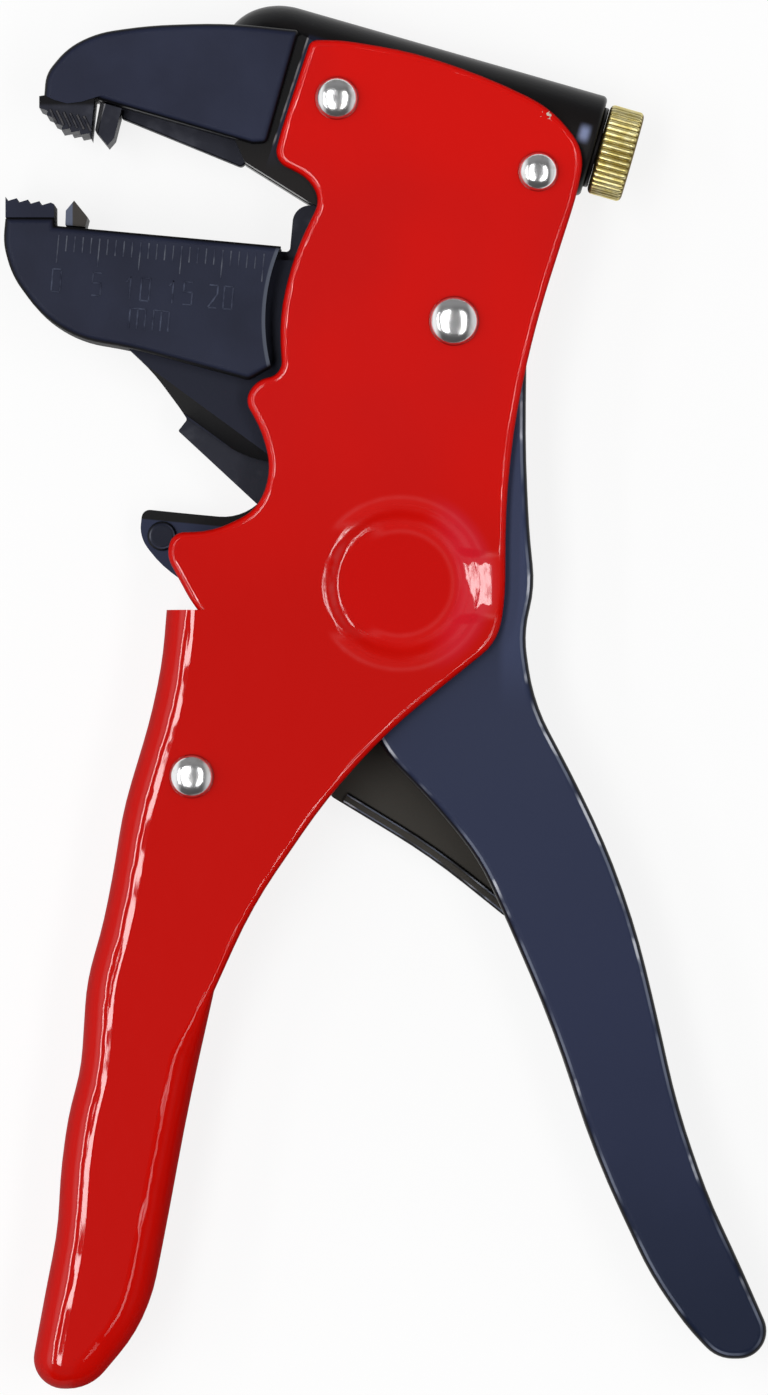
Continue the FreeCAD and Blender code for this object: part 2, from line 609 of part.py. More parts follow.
def saw(start, end, count, depth):
    """Tooth points from start to end, the valleys set back to the left of the way."""
    way = Vector(*end, 0) - Vector(*start, 0)
    back = Vector(-way.y, way.x, 0).normalize() * depth
    points = []
    for i in range(count):
        peak = Vector(*start, 0) + way * (i / count)
        valley = Vector(*start, 0) + way * ((i + 0.8) / count) + back
        points += [(peak.x, peak.y, 0), (valley.x, valley.y, 0)]
    return points


UPPER_TOOTH = 0.45
LOWER_TOOTH = 0.5


def make_upper_pad():
    grip = new_body("upper_grip_pad")
    front, tip, back = (-50.3, 25.9), (-47.6, 23.2), (-44.1, 22.3)
    teeth = saw(front, tip, 3, UPPER_TOOTH) + saw(tip, back, 3, UPPER_TOOTH)
    outline = [*PAD_SEAT, (-50.3, 27.3, 0), *teeth, (*back, 0)]
    pad(grip, "serrated_block", rounded(outline), PAD_BOTTOM, PAD_WIDTH)


# Upper blade bar: a lug reaches into the tube, and a fork at the tail takes the handle's tongue.
BAR_TOP = 6.2
BAR_FOOT = 11.6
LUG_REACH = -1.0
LUG_S = MOUTH - value("sizes.bore_depth - sizes.lug_gap - sizes.slide_gap")
FORK_REACH = 1.0
LONG_EDGE = 15.0


def ease_bar(bar):
    """Eases the long edges of a blade bar on both sides."""
    levels = (value(BAR_BOTTOM), value(f"{BAR_BOTTOM} + sizes.bar_width"))
    round_edges(
        bar, bar.Name + "_edges",
        lambda edge: any(flat_at(edge, z) for z in levels) and edge.Length > LONG_EDGE,
        "sizes.bar_round",
    )


def make_upper_bar():
    bar = new_body("upper_blade_bar")
    reach = value("sizes.tongue_tip + sizes.slide_gap")
    prong_end = TIP_S + reach + value("sizes.fork_prong")
    fork_top = TIP_D - reach - value("sizes.slide_gap")
    fork_tail = TIP_D + FORK_REACH
    lug_end = LUG_S + value("sizes.lug_length")
    tail_top = 7.1
    outline = under_tube(
        (-61.6, BAR_TOP, 0.5), (LUG_S, BAR_TOP, 0), (LUG_S, LUG_REACH, 0.4), (lug_end, LUG_REACH, 0.4),
        (lug_end, BAR_TOP, 0), (-20.6, BAR_TOP, 0), (-19.6, tail_top, 0), (prong_end, tail_top, 0.8),
        (prong_end, fork_tail, 0.6), (TIP_S + reach, fork_tail, 0.4), (TIP_S + reach, fork_top, 0.6),
        (TIP_S - reach, fork_top, 0.6), (TIP_S - reach, 12.0, 0.4), (-42.0, 12.0, 0), (-43.3, 14.3, 0.6),
        (-59.0, 12.6, 0.3), (-59.2, BAR_FOOT, 0), (-61.6, BAR_FOOT, 0),
    )
    pad(bar, "bar", rounded(outline), BAR_BOTTOM, "sizes.bar_width")
    ease_bar(bar)


def make_upper_blade():
    blade = new_body("upper_blade")
    heel, flank, tip = (-61.9, BAR_FOOT, 0), (-61.6, 15.0, 0), (-59.6, 16.4, 0)
    outline = under_tube(heel, flank, tip, (-59.1, 15.3, 0), (-59.2, BAR_FOOT, 0))
    pad(blade, "blade", rounded(outline), BLADE_BOTTOM, "2 * sizes.blade_half_width")
    ground = Part.makePolygon([Vector(*corner) for corner in under_tube(heel, flank)])
    levels = (value(BLADE_BOTTOM), value(f"{BLADE_BOTTOM} + 2 * sizes.blade_half_width"))

    def on_flank(edge):
        point = middle_of(edge)
        return ground.distToShape(Part.Vertex(point.x, point.y, 0))[0] < 1e-4

    bevel_edges(
        blade, "ground_flank",
        lambda edge: any(flat_at(edge, z) for z in levels) and on_flank(edge),
        "sizes.blade_bevel",
    )


def make_tube_parts():
    """Plunger, spring, seat, screw and knob, in line along the tube's axis."""
    lug_face = LUG_S + value("sizes.lug_length")
    spigot = "sizes.bore_radius - 4 * sizes.spring_wire"
    plunger = new_body("plunger")
    primitive(
        plunger, "AdditiveCylinder", "plunger_head", on_axis(lug_face), AXIS,
        Radius="sizes.bore_radius - sizes.running_gap", Height="sizes.plunger_length",
    )
    spring_start = lug_face + value("sizes.plunger_length")
    primitive(
        plunger, "AdditiveCylinder", "plunger_spigot", on_axis(spring_start), AXIS,
        Radius=spigot, Height="sizes.spigot_length",
    )
    seat_start = MOUTH - value("sizes.screw_reach + sizes.seat_length")
    seat = new_body("spring_seat")
    primitive(
        seat, "AdditiveCylinder", "seat_disc", on_axis(seat_start), AXIS,
        Radius="sizes.bore_radius - sizes.running_gap", Height="sizes.seat_length",
    )
    primitive(
        seat, "AdditiveCylinder", "seat_spigot", on_axis(seat_start - value("sizes.spigot_length")), AXIS,
        Radius=spigot, Height="sizes.spigot_length",
    )
    make_spring(spring_start, seat_start)
    screw = new_body("adjuster_screw")
    screw_start = MOUTH - value("sizes.screw_reach")
    primitive(
        screw, "AdditiveCylinder", "screw_thread_part", on_axis(screw_start), AXIS,
        Radius="sizes.screw_thread", Height="sizes.screw_reach",
    )
    in_knob = "sizes.knob_length - sizes.knob_cap - sizes.slide_gap"
    primitive(
        screw, "AdditiveCylinder", "screw_neck", on_axis(screw_start), AXIS,
        Radius="sizes.screw_radius", Height=f"sizes.screw_reach + sizes.knob_gap + {in_knob}",
    )
    make_knob()


def make_spring(start, end):
    wire = value("sizes.spring_wire")
    helix = doc.addObject("Part::Helix", "spring_line")
    helix.Pitch = (end - start - 2 * wire) / value("sizes.spring_turns")
    helix.Height = end - start - 2 * wire
    helix.setExpression("Radius", "sizes.bore_radius - 1.5 * sizes.spring_wire - sizes.running_gap")
    section = doc.addObject("Part::Circle", "spring_section")
    section.setExpression("Radius", "sizes.spring_wire")
    section.setExpression("Placement.Base.x", "spring_line.Radius")
    section.Placement = Placement(section.Placement.Base, Rotation(Vector(1, 0, 0), 90))
    doc.recompute()
    spring = doc.addObject("Part::Sweep", "blade_spring")
    spring.Sections = [section]
    spring.Spine = helix
    spring.Solid = True
    spring.Frenet = True
    first = KNOB_MIDDLE + AXIS * (start + wire)
    spring.Placement = Placement(Vector(first.x, first.y, value(MIDDLE)), Rotation(Vector(0, 0, 1), AXIS))
    nodes.append(spring)


def make_knob():
    """Brass knob with a straight knurl between two plain rims."""
    knob = new_body("adjuster_knob")
    outer = value("sizes.knob_radius")
    valley = outer - value("sizes.ridge_depth")
    count = int(value("sizes.knob_ridges"))
    corners = []
    for i in range(count):
        for part, radius in ((-0.28, outer), (0.28, outer), (0.5, valley)):
            angle = 2 * math.pi * (i + part) / count
            corners.append((radius * math.cos(angle), radius * math.sin(angle), 0))
    primitive(
        knob, "AdditiveCylinder", "knob_core", ("0", "0", "0"),
        Radius="sizes.knob_radius - sizes.ridge_depth", Height="sizes.knob_length",
    )
    pad(knob, "knurl", rounded(corners), "sizes.knob_rim", "sizes.knob_length - 2 * sizes.knob_rim")
    primitive(
        knob, "SubtractiveCylinder", "knob_bore", ("0", "0", "0"),
        Radius="sizes.screw_radius + sizes.fit_gap", Height="sizes.knob_length - sizes.knob_cap",
    )
    face = KNOB_MIDDLE - AXIS * value("sizes.knob_length / 2")
    knob.Placement = Placement(Vector(face.x, face.y, value(MIDDLE)), Rotation(Vector(0, 0, 1), AXIS))


LOWER_CHEEK = [
    (-54.4, 12.6, 0.3), (-54.7, 9.5), (-53.6, 5.5), (-50.0, 0.6), (-45.4, -2.2), (-39.3, -3.2),
    (-24.9, -7.1, 1.0), (-20.5, -4.6, 0), (-20.5, 9.05, 0), (-48.4, 11.6, 0), (-48.5, 12.6, 0),
]
NECK_FOOT = [(-9.0, -13.0), (-14.0, -16.6), (-24.0, -17.4), (-32.4, -11.7, 0.4), (-36.6, -6.0)]
NECK_RIDGE = [(-37.3, -5.3), (-22.0, -16.5)]
CUTTER = [
    (-35.2, -7.6, 0.5), (-32.5, -11.7, 0.4), (-33.6, -13.1, 0.2), (-23.9, -22.1, 0.5), (-15.0, -20.0, 2.0),
    (-10.5, -12.5, 2.0), (-13.0, -8.0, 2.0), (-26.0, -5.5, 2.0),
]
CUTTER_RIVETS = [(-20.5, -11.5), (-14.5, -12.0)]
FORK_FRONT = -5.6
FORK_CLEAR = 3.0
LOWER_SLOT_TOP = -2.0
SLOPE_CLEAR = (8.0, 1.0)


def slope_neck(jaw):
    """Cuts the neck's front side to a slope, from the ridge on its near face outwards and down."""
    start, end = (Vector(*corner, 0) for corner in NECK_RIDGE)
    outward = Vector((end - start).y, (start - end).x, 0).normalize()
    width = value("sizes.neck_bevel_width")
    depth = value("sizes.neck_bevel_depth")
    clear, above = SLOPE_CLEAR
    section = rounded([(0, 0, 0), (width, -depth, 0), (clear, -depth, 0), (clear, above, 0), (0, above, 0)])
    near = f"({MIDDLE} + {NECK_HALF})"
    volume = jaw.Shape.Volume
    sketch = sketch_on(jaw, "neck_slope_sketch", section, near)
    turn = Rotation(outward, Vector(0, 0, 1), outward.cross(Vector(0, 0, 1)), "XYZ")
    sketch.AttachmentOffset = Placement(Vector(start.x, start.y, value(near)), turn)
    slope = jaw.newObject("PartDesign::Pocket", "neck_slope")
    slope.Profile = sketch
    slope.Length = (end - start).Length
    doc.recompute()
    if slope.Shape.Volume > volume - 1.0:
        raise RuntimeError("neck_slope cuts nothing")


def make_lower_jaw():
    """Swinging casting: two cheeks cut to an arc about the pivot, and a forked neck."""
    jaw = new_body("lower_jaw")
    hub = value("sizes.hub_radius")
    pad(jaw, "cheeks_lower", rounded(LOWER_CHEEK), CHEEK_BOTTOM, CHEEK_WIDTH)
    hole(jaw, "cheek_back", MAIN_PIVOT, "sizes.cheek_arc")
    levels = (value(CHEEK_BOTTOM), value(f"{CHEEK_BOTTOM} + {CHEEK_WIDTH}"))
    pad_seat = LOWER_CHEEK[0][1]

    def open_side(point):
        return math.hypot(point.x, point.y) > value("sizes.cheek_arc") + 0.01 and point.y < pad_seat - 0.01

    round_edges(
        jaw, "cheek_edges_lower",
        lambda edge: any(flat_at(edge, z) for z in levels) and open_side(middle_of(edge)),
        "sizes.cheek_round",
    )
    neck = [
        (-42.0, 3.0, 0), (-26.0, 7.8), (-12.0, 7.2), (hub, hub, hub), (hub, -hub, hub), (-5.0, -hub - 1.0),
        *NECK_FOOT, (-39.8, -3.0, 0), (-42.0, 0, 0),
    ]
    pad(jaw, "neck", rounded(neck), NECK_BOTTOM, "2 * " + NECK_HALF)
    slope_neck(jaw)
    tail_end = LOWER_BAR_END + BLADE_TRAVEL + value("sizes.lug_gap")
    floor = LOWER_BAR_FOOT + value("sizes.slide_gap")
    front = LOWER_BAR_FRONT - value("sizes.slide_gap")
    slot = in_lower_jaw(
        (front, LOWER_SLOT_TOP, 0), (tail_end, LOWER_SLOT_TOP, 0), (tail_end, floor, 0), (front, floor, 0),
    )
    pocket(jaw, "lower_bar_slot", rounded(slot), SLOT_BOTTOM, SLOT_WIDTH)
    past = hub + FORK_CLEAR
    fork = [(FORK_FRONT, past, 0), (past, past, 0), (past, -past, 0), (FORK_FRONT, -past, 0)]
    pocket(jaw, "pivot_fork", rounded(fork), SLOT_BOTTOM, SLOT_WIDTH)
    plate = Part.Wire(Part.__sortEdges__([curve.toShape() for curve in rounded(CUTTER)]))
    recess = plate.makeOffset2D(value("sizes.cutter_fit"))
    curves = []
    for edge in recess.Edges:
        first, last = edge.Vertexes[0].Point, edge.Vertexes[-1].Point
        straight = edge.Curve.TypeId == "Part::GeomLine"
        curves.append(Part.LineSegment(first, last) if straight else Part.Arc(first, middle_of(edge), last))
    pocket(jaw, "cutter_recess", curves, NECK_BOTTOM, "sizes.cutter_thickness")
    hole(jaw, "pivot_bore", MAIN_PIVOT, f"{BUSH_RADIUS} + sizes.running_gap")
    for i, (x, y) in enumerate(CUTTER_RIVETS):
        hole(jaw, f"cutter_hole_{i}", (str(x), str(y)), "sizes.cutter_rivet + sizes.fit_gap")


def make_cutter():
    cutter = new_body("cutter_blade")
    pad(cutter, "cutter_plate", rounded(CUTTER), NECK_BOTTOM, "sizes.cutter_thickness")
    rivets = []
    for i, (x, y) in enumerate(CUTTER_RIVETS):
        place = (str(x), str(y))
        hole(cutter, f"cutter_plate_hole_{i}", place, "sizes.cutter_rivet + sizes.fit_gap")
        spot = (*place, NECK_BOTTOM)
        rivets.append(loose_cylinder(f"cutter_rivet_{i}", spot, "sizes.cutter_rivet", "2 * " + NECK_HALF))
    make_group("cutter_rivets", rivets)


def make_lower_pad():
    grip = new_body("lower_grip_pad")
    front, back = (-54.4, 15.1), (-48.9, 14.4)
    teeth = saw(back, front, 4, LOWER_TOOTH)
    outline = [(-48.5, 12.6, 0), (-48.5, 14.2, 0), *teeth, (*front, 0), (front[0], 12.6, 0)]
    pad(grip, "serrated_strip", rounded(outline), PAD_BOTTOM, PAD_WIDTH)


LOWER_BAR_FRONT = 0.9
LOWER_BAR_END = 36.0
LOWER_BAR_TOP = 0.4
LOWER_BAR_FOOT = 4.6
BLADE_BASE = -0.25


def make_lower_bar():
    """Bar in the lower jaw's slot, with a round lug that rises between the plates."""
    bar = new_body("lower_blade_bar")
    lug_front, lug_back, lug_top = 28.6, 33.0, -5.5
    outline = in_lower_jaw(
        (1.2, BLADE_BASE, 0), (3.6, BLADE_BASE, 0), (3.6, LOWER_BAR_TOP, 0), (lug_front, LOWER_BAR_TOP, 0.5),
        (lug_front, lug_top, 2.1), (lug_back, lug_top, 2.1), (lug_back, LOWER_BAR_TOP, 0.5),
        (LOWER_BAR_END, LOWER_BAR_TOP, 0.5), (LOWER_BAR_END, LOWER_BAR_FOOT, 0.5),
        (LOWER_BAR_FRONT, LOWER_BAR_FOOT, 0.5), (LOWER_BAR_FRONT, LOWER_BAR_TOP, 0), (1.2, LOWER_BAR_TOP, 0),
    )
    pad(bar, "bar_lower", rounded(outline), BAR_BOTTOM, "sizes.bar_width")


def make_lower_blade():
    blade = new_body("lower_blade")
    outline = in_lower_jaw(
        (1.2, BLADE_BASE, 0), (1.1, -2.0, 0), (2.0, -3.3, 0), (3.8, -1.45, 0), (3.6, BLADE_BASE, 0),
    )
    pad(blade, "blade_lower", rounded(outline), BLADE_BOTTOM, "2 * sizes.blade_half_width")


TOP_WALL = 1.0
HANDLE_BACK = [
    (8.7, -15.3), (9.2, -25.9), (9.9, -32.2), (8.5, -37.8), (9.7, -46.2), (15.0, -56.2), (18.9, -64.5),
    (22.2, -73.9), (24.5, -83.3), (27.2, -95.5), (31.0, -106.5), (34.4, -113.7), (39.8, -126.0, 3.4),
    (32.0, -126.0, 4.5),
]
HANDLE_FRONT = [
    (28.4, -122.3), (23.9, -115.9), (17.2, -101.6), (12.2, -86.1), (6.2, -72.2), (3.0, -65.3), (-2.8, -58.2),
    (-8.8, -52.1), (-11.0, -46.0), (-10.0, -30.0),
]
ARM_TIP = [
    (-25.5, -23.8), (-32.1, -23.2), (-38.0, -22.6, 1.0), (-38.4, -26.0), (-36.0, -29.2), (-33.0, -31.5),
    (-27.8, -35.3), (-20.5, -40.5), (-17.9, -45.7), (-16.3, -51.4),
]
BEAD_LINE = [(-2.8, -65.1), (5.9, -72.1)]
FRONT_ARM = [
    (0, 6.0, 0), (-8.0, 4.0), (-12.5, -9.0), *ARM_TIP, (-15.0, -57.7, 1.0), BEAD_LINE[0], (*BEAD_LINE[1], 0),
    (9.0, -74.0, 0), (12.0, -60.0, 0), (6.0, -30.0, 0), (6.0, 0, 0),
]
BEAD_START = (-13.6, -58.55)
BOSS = ("-35.6", "-25.9")


def bead_corners(corners):
    """The corners with sharp ends, the middle of each long side left round."""
    last = len(corners) // 2
    return [corner if i % last == 1 else (*corner[:2], 0) for i, corner in enumerate(corners)]


def make_handle():
    """Channel lever with an eye at the pivot, a tongue above it and the cutter's arm in front."""
    handle = new_body("handle")
    hub = value("sizes.handle_hub")
    outline = [(-hub, hub, hub - 0.1), (9.0, hub, hub - 0.4), *HANDLE_BACK, *HANDLE_FRONT]
    pad(handle, "lever_block", rounded(outline), HANDLE_BOTTOM, "2 * " + HANDLE_HALF)

    levels = (value(HANDLE_BOTTOM), value(f"{MIDDLE} + {HANDLE_HALF}"))
    round_edges(
        handle, "lever_edges", lambda edge: any(flat_at(edge, z) for z in levels), "sizes.handle_round",
    )
    wall = value("sizes.handle_wall")
    back = inset([(TOP_WALL, hub), (9.0, hub, hub - 0.4), *HANDLE_BACK, HANDLE_FRONT[0]], wall)
    hollow = [(-60.0, 20.0, 0), (TOP_WALL, 20.0, 0), *back[:-1], (-60.0, back[-2][1], 0)]
    inner_face = f"({HANDLE_BOTTOM} + sizes.handle_wall)"
    pocket(handle, "hollow", rounded(hollow), inner_face, f"(2 * {HANDLE_HALF} - 2 * sizes.handle_wall)")
    pad(handle, "front_arm", rounded(FRONT_ARM), HANDLE_BOTTOM, "sizes.handle_wall")
    primitive(
        handle, "AdditiveCylinder", "boss", (*BOSS, inner_face),
        Radius="sizes.boss_radius", Height="sizes.boss_height",
    )
    bead_line = [BEAD_START, *BEAD_LINE]
    bead = [*bead_line, *reversed(inset(bead_line, -value("sizes.bead_width")))]
    pad(handle, "bead", rounded(bead_corners(bead)), inner_face, "sizes.bead_height")
    bead_top = value(f"{inner_face} + sizes.bead_height")
    bead_end = value("sizes.bead_width + sizes.fit_gap")
    round_edges(
        handle, "bead_edges", lambda edge: flat_at(edge, bead_top) and edge.Length > bead_end,
        "sizes.bead_round",
    )
    tip_x, tip_y = under_tube((TIP_S, TIP_D))[0]
    tip = value("sizes.tongue_tip")
    tongue = [
        (7.2, -8.0, 0), (8.2, -8.0, 0), (8.4, 3.0), (tip_x + 0.7 * tip, tip_y - 4.5),
        (tip_x + 0.5 * tip, tip_y, 0), (tip_x - 0.5 * tip, tip_y, 0), (tip_x - 0.9 * tip, tip_y - 5.0),
        (5.9, 5.9, 0.5), (7.2, 3.0),
    ]
    tongue_side = f"{MIDDLE} - sizes.tongue_width / 2"
    pad(handle, "tongue", rounded(tongue), tongue_side, "sizes.tongue_width")
    primitive(
        handle, "AdditiveCylinder", "tongue_end", (str(tip_x), str(tip_y), tongue_side),
        Radius="sizes.tongue_tip", Height="sizes.tongue_width",
    )
    hole(handle, "handle_bore", MAIN_PIVOT, f"{BUSH_RADIUS} + sizes.running_gap")


def make_return_spring():
    """Torsion spring round the bush: one leg on the handle's back wall, one under the tenon."""
    wire = value("sizes.return_wire")
    radius = value(f"{BUSH_RADIUS} + sizes.coil_gap") + wire
    turns = value("sizes.return_turns")
    pitch = 2.1 * wire
    low = value(MIDDLE) - turns * pitch / 2
    coil = doc.addObject("Part::Helix", "return_line")
    coil.Pitch = pitch
    coil.Height = pitch * turns
    coil.Radius = radius
    section = doc.addObject("Part::Circle", "return_section")
    section.setExpression("Radius", "sizes.return_wire")
    section.Placement = Placement(Vector(radius, 0, 0), Rotation(Vector(1, 0, 0), 90))
    doc.recompute()
    body = doc.addObject("Part::Sweep", "return_coil")
    body.Sections = [section]
    body.Spine = coil
    body.Solid = True
    body.Frenet = True
    body.Placement = Placement(Vector(0, 0, low), Rotation())
    legs = []
    for name, start, way, length in (
        ("handle_leg", Vector(radius, 0, low), Vector(0.17, -1, 0), 13.0),
        ("frame_leg", Vector(-radius, 0, low + pitch * turns), Vector(0, 1, 0), 9.4),
    ):
        leg = doc.addObject("Part::Cylinder", name)
        leg.setExpression("Radius", "sizes.return_wire")
        leg.Height = length
        leg.Placement = Placement(start, Rotation(Vector(0, 0, 1), way))
        legs.append(leg)
    spring = doc.addObject("Part::MultiFuse", "return_spring")
    spring.Shapes = [body, *legs]
    nodes.append(spring)


make_frame()
make_upper_jaw()
make_upper_pad()
make_rivet("front_rivet", FRONT_RIVET, "sizes.front_shank", "sizes.front_head")
make_rivet("rear_rivet", REAR_RIVET, "sizes.rear_shank", "sizes.rear_head")
make_rivet("main_pivot_rivet", MAIN_PIVOT, "sizes.main_shank", "sizes.main_head")
make_rivet("stop_rivet", STOP_RIVET, "sizes.stop_shank", "sizes.stop_head")
make_sleeve("pivot_bush", MAIN_PIVOT, "sizes.main_shank + sizes.fit_gap", BUSH_RADIUS)
make_sleeve(
    "stop_sleeve", STOP_RIVET, "sizes.stop_shank + sizes.fit_gap",
    "sizes.stop_shank + sizes.fit_gap + sizes.stop_sleeve_wall",
)
make_washers()
make_handle()
make_return_spring()
make_lower_jaw()
make_lower_pad()
make_cutter()
make_upper_bar()
make_upper_blade()
make_tube_parts()
make_lower_bar()
make_lower_blade()

doc.recompute()
for obj in doc.Objects:
    if "Invalid" in obj.State or "Error" in obj.State:
        raise RuntimeError(f"{obj.Label} failed: {obj.State}")
os.makedirs("parts", exist_ok=True)
for node in nodes:
    if node.Shape.isNull() or not node.Shape.isValid():
        raise RuntimeError(node.Label + " has no valid shape")
for node in nodes:
    node.Shape.exportStep(f"parts/{node.Label}.step")
    print(node.Label, len(node.Shape.Solids), round(node.Shape.Volume, 1))
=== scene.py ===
import json
import math
import bpy
import numpy as np
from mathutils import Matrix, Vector


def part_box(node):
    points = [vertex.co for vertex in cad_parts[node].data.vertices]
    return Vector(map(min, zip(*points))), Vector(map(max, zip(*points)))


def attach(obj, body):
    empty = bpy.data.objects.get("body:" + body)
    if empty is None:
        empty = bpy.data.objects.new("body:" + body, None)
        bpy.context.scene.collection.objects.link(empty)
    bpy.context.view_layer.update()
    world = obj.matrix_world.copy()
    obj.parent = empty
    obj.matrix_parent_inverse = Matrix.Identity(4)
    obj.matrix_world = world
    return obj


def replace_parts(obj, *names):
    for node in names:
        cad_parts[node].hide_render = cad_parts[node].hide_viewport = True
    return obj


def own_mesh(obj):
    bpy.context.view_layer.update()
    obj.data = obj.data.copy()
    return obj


# Automatic wire stripper lying on a table with its rivet heads up. Lengths are in metres, in the
# frame of the tool's solids: the origin on the main pivot's axis, +Y towards the jaws, +Z up.
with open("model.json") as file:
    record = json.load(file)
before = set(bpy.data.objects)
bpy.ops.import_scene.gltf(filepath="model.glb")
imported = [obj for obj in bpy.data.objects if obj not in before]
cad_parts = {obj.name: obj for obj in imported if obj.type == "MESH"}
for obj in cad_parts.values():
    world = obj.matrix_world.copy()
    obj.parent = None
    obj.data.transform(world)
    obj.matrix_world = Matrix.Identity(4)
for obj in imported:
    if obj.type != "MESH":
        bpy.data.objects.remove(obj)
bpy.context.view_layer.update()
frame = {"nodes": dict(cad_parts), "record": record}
nodes = frame["nodes"]

# Frame: one steel sheet, pressed and folded into a finger-grooved channel, dipped in thick red
# enamel. The enamel runs a little, so its gloss ripples, and it has caught dust and one small chip.
MM = 0.001


class Wire:
    """An output socket in a material. Arithmetic on values adds Math nodes of that material."""

    def __init__(self, tree, socket):
        self.tree = tree
        self.socket = socket

    def add(self, kind, settings, inputs, output=0):
        """A new node: its settings first, then the values or links of its sockets."""
        node = self.tree.nodes.new(kind)
        for name, setting in settings.items():
            setattr(node, name, setting)
        for key, given in inputs.items():
            if isinstance(given, Wire):
                self.tree.links.new(given.socket, node.inputs[key])
            else:
                node.inputs[key].default_value = given
        return Wire(self.tree, node.outputs[output])

    def maths(self, operation, *values):
        """A Math node on the given values."""
        return self.add("ShaderNodeMath", {"operation": operation}, dict(enumerate(values)))

    def __add__(self, other):
        return self.maths("ADD", self, other)

    def __sub__(self, other):
        return self.maths("SUBTRACT", self, other)

    def __rsub__(self, other):
        return self.maths("SUBTRACT", other, self)

    def __mul__(self, other):
        return self.maths("MULTIPLY", self, other)

    def __abs__(self):
        return self.maths("ABSOLUTE", self)

    __radd__ = __add__
    __rmul__ = __mul__

    def larger(self, other):
        """The larger of this value and another."""
        return self.maths("MAXIMUM", self, other)

    def root(self):
        """The square root of this value."""
        return self.maths("SQRT", self)

    def parts(self):
        """The three values of a vector."""
        first = self.add("ShaderNodeSeparateXYZ", {}, {"Vector": self})
        return [Wire(self.tree, output) for output in first.socket.node.outputs]

    def rise(self, low, high):
        """0 up to the low value, 1 from the high one, a smooth step between."""
        span = {"Value": self, "From Min": low, "From Max": high}
        return self.add("ShaderNodeMapRange", {"interpolation_type": "SMOOTHSTEP"}, span)

    def ramp(self, low, high):
        """0 up to the low value, 1 from the high one, a straight line between."""
        span = {"Value": self, "From Min": low, "From Max": high}
        return self.add("ShaderNodeMapRange", {}, span)

    def band(self, low, high, blur):
        """1 between the low and the high value, falling smoothly to 0 over the blur outside them."""
        return self.rise(low - blur, low) * (1.0 - self.rise(high, high + blur))

    def away(self, point):
        """Distance of a place from a point."""
        gap = {"operation": "DISTANCE"}
        return self.add("ShaderNodeVectorMath", gap, {0: self, 1: point}, "Value")

    def along(self, way):
        """How far a place lies along a direction from the origin."""
        return self.add("ShaderNodeVectorMath", {"operation": "DOT_PRODUCT"}, {0: self, 1: way}, "Value")

    def colour(self, low, high):
        """The low colour where this value is 0, the high one where it is 1."""
        return self.add("ShaderNodeMix", {"data_type": "RGBA"}, {0: self, 6: low, 7: high}, 2)

    def noise(self, size, detail=2.0):
        """Cloudy values round 0.5, with clouds of about the given size."""
        sockets = {"Vector": self, "Scale": 1.0 / size, "Detail": detail}
        return self.add("ShaderNodeTexNoise", {}, sockets)

    def specks(self, size, share, radius):
        """1 on round specks in a share of the cells of the given size, 0 between them."""
        sockets = {"Vector": self, "Scale": 1.0 / size}
        distance = self.add("ShaderNodeTexVoronoi", {}, sockets)
        lot = Wire(self.tree, distance.socket.node.outputs["Color"])
        chance = lot.add("ShaderNodeSeparateColor", {}, {"Color": lot})
        chosen = chance.rise(1.0 - share, 1.0 - share + 0.01)
        return chosen * (1.0 - distance.rise(0.6 * radius / size, radius / size))

    def bump(self, height):
        """Normals of a surface raised by the given height where this value is 1."""
        return self.add("ShaderNodeBump", {}, {"Height": self, "Distance": height})


class Finish:
    """A material with one Principled shader. Values that hold all over are set on its sockets."""

    def __init__(self, name, **values):
        self.material = bpy.data.materials.new(name)
        self.material.use_nodes = True
        self.tree = self.material.node_tree
        self.shader = self.tree.nodes["Principled BSDF"]
        for socket, number in values.items():
            self.shader.inputs[socket.replace("_", " ")].default_value = number
        coordinates = self.tree.nodes.new("ShaderNodeTexCoord")
        self.place = Wire(self.tree, coordinates.outputs["Object"])
        self.normal = Wire(self.tree, coordinates.outputs["Normal"])

    def link(self, socket, wire):
        """Feeds a socket of the Principled shader."""
        self.tree.links.new(wire.socket, self.shader.inputs[socket])

    def mixed_with(self, share, other):
        """Another shader shows in place of the Principled one where the share is 1."""
        own = Wire(self.tree, self.shader.outputs[0])
        mixed = share.add("ShaderNodeMixShader", {}, {0: share, 1: own, 2: other})
        self.tree.links.new(mixed.socket, self.tree.nodes["Material Output"].inputs["Surface"])

    def onto(self, *names):
        """Gives the finish to the named solids."""
        for name in names:
            for slot in nodes[name].material_slots:
                slot.material = self.material


WEB_WAY = (-0.986, 0.167, 0.0)
WEB_SIDE, WEB_TOP = (22.5 * MM, 24.5 * MM), (-30 * MM, -27 * MM)
LIP_FADE, LIP_FACING = (-74 * MM, -58 * MM), (0.02, 0.12)
FLAT_FACING = (0.985, 0.999)

enamel = Finish("red_enamel", IOR=1.65)
across, upward, _ = enamel.place.parts()
facing_right, _, facing_up = enamel.normal.parts()
level = abs(facing_up)
sloping = 1.0 - level.rise(*FLAT_FACING)
on_web = enamel.place.along(WEB_WAY).rise(*WEB_SIDE) * (1.0 - upward.rise(*WEB_TOP))
on_lip = facing_right.rise(*LIP_FACING) * (1.0 - upward.rise(*LIP_FADE))

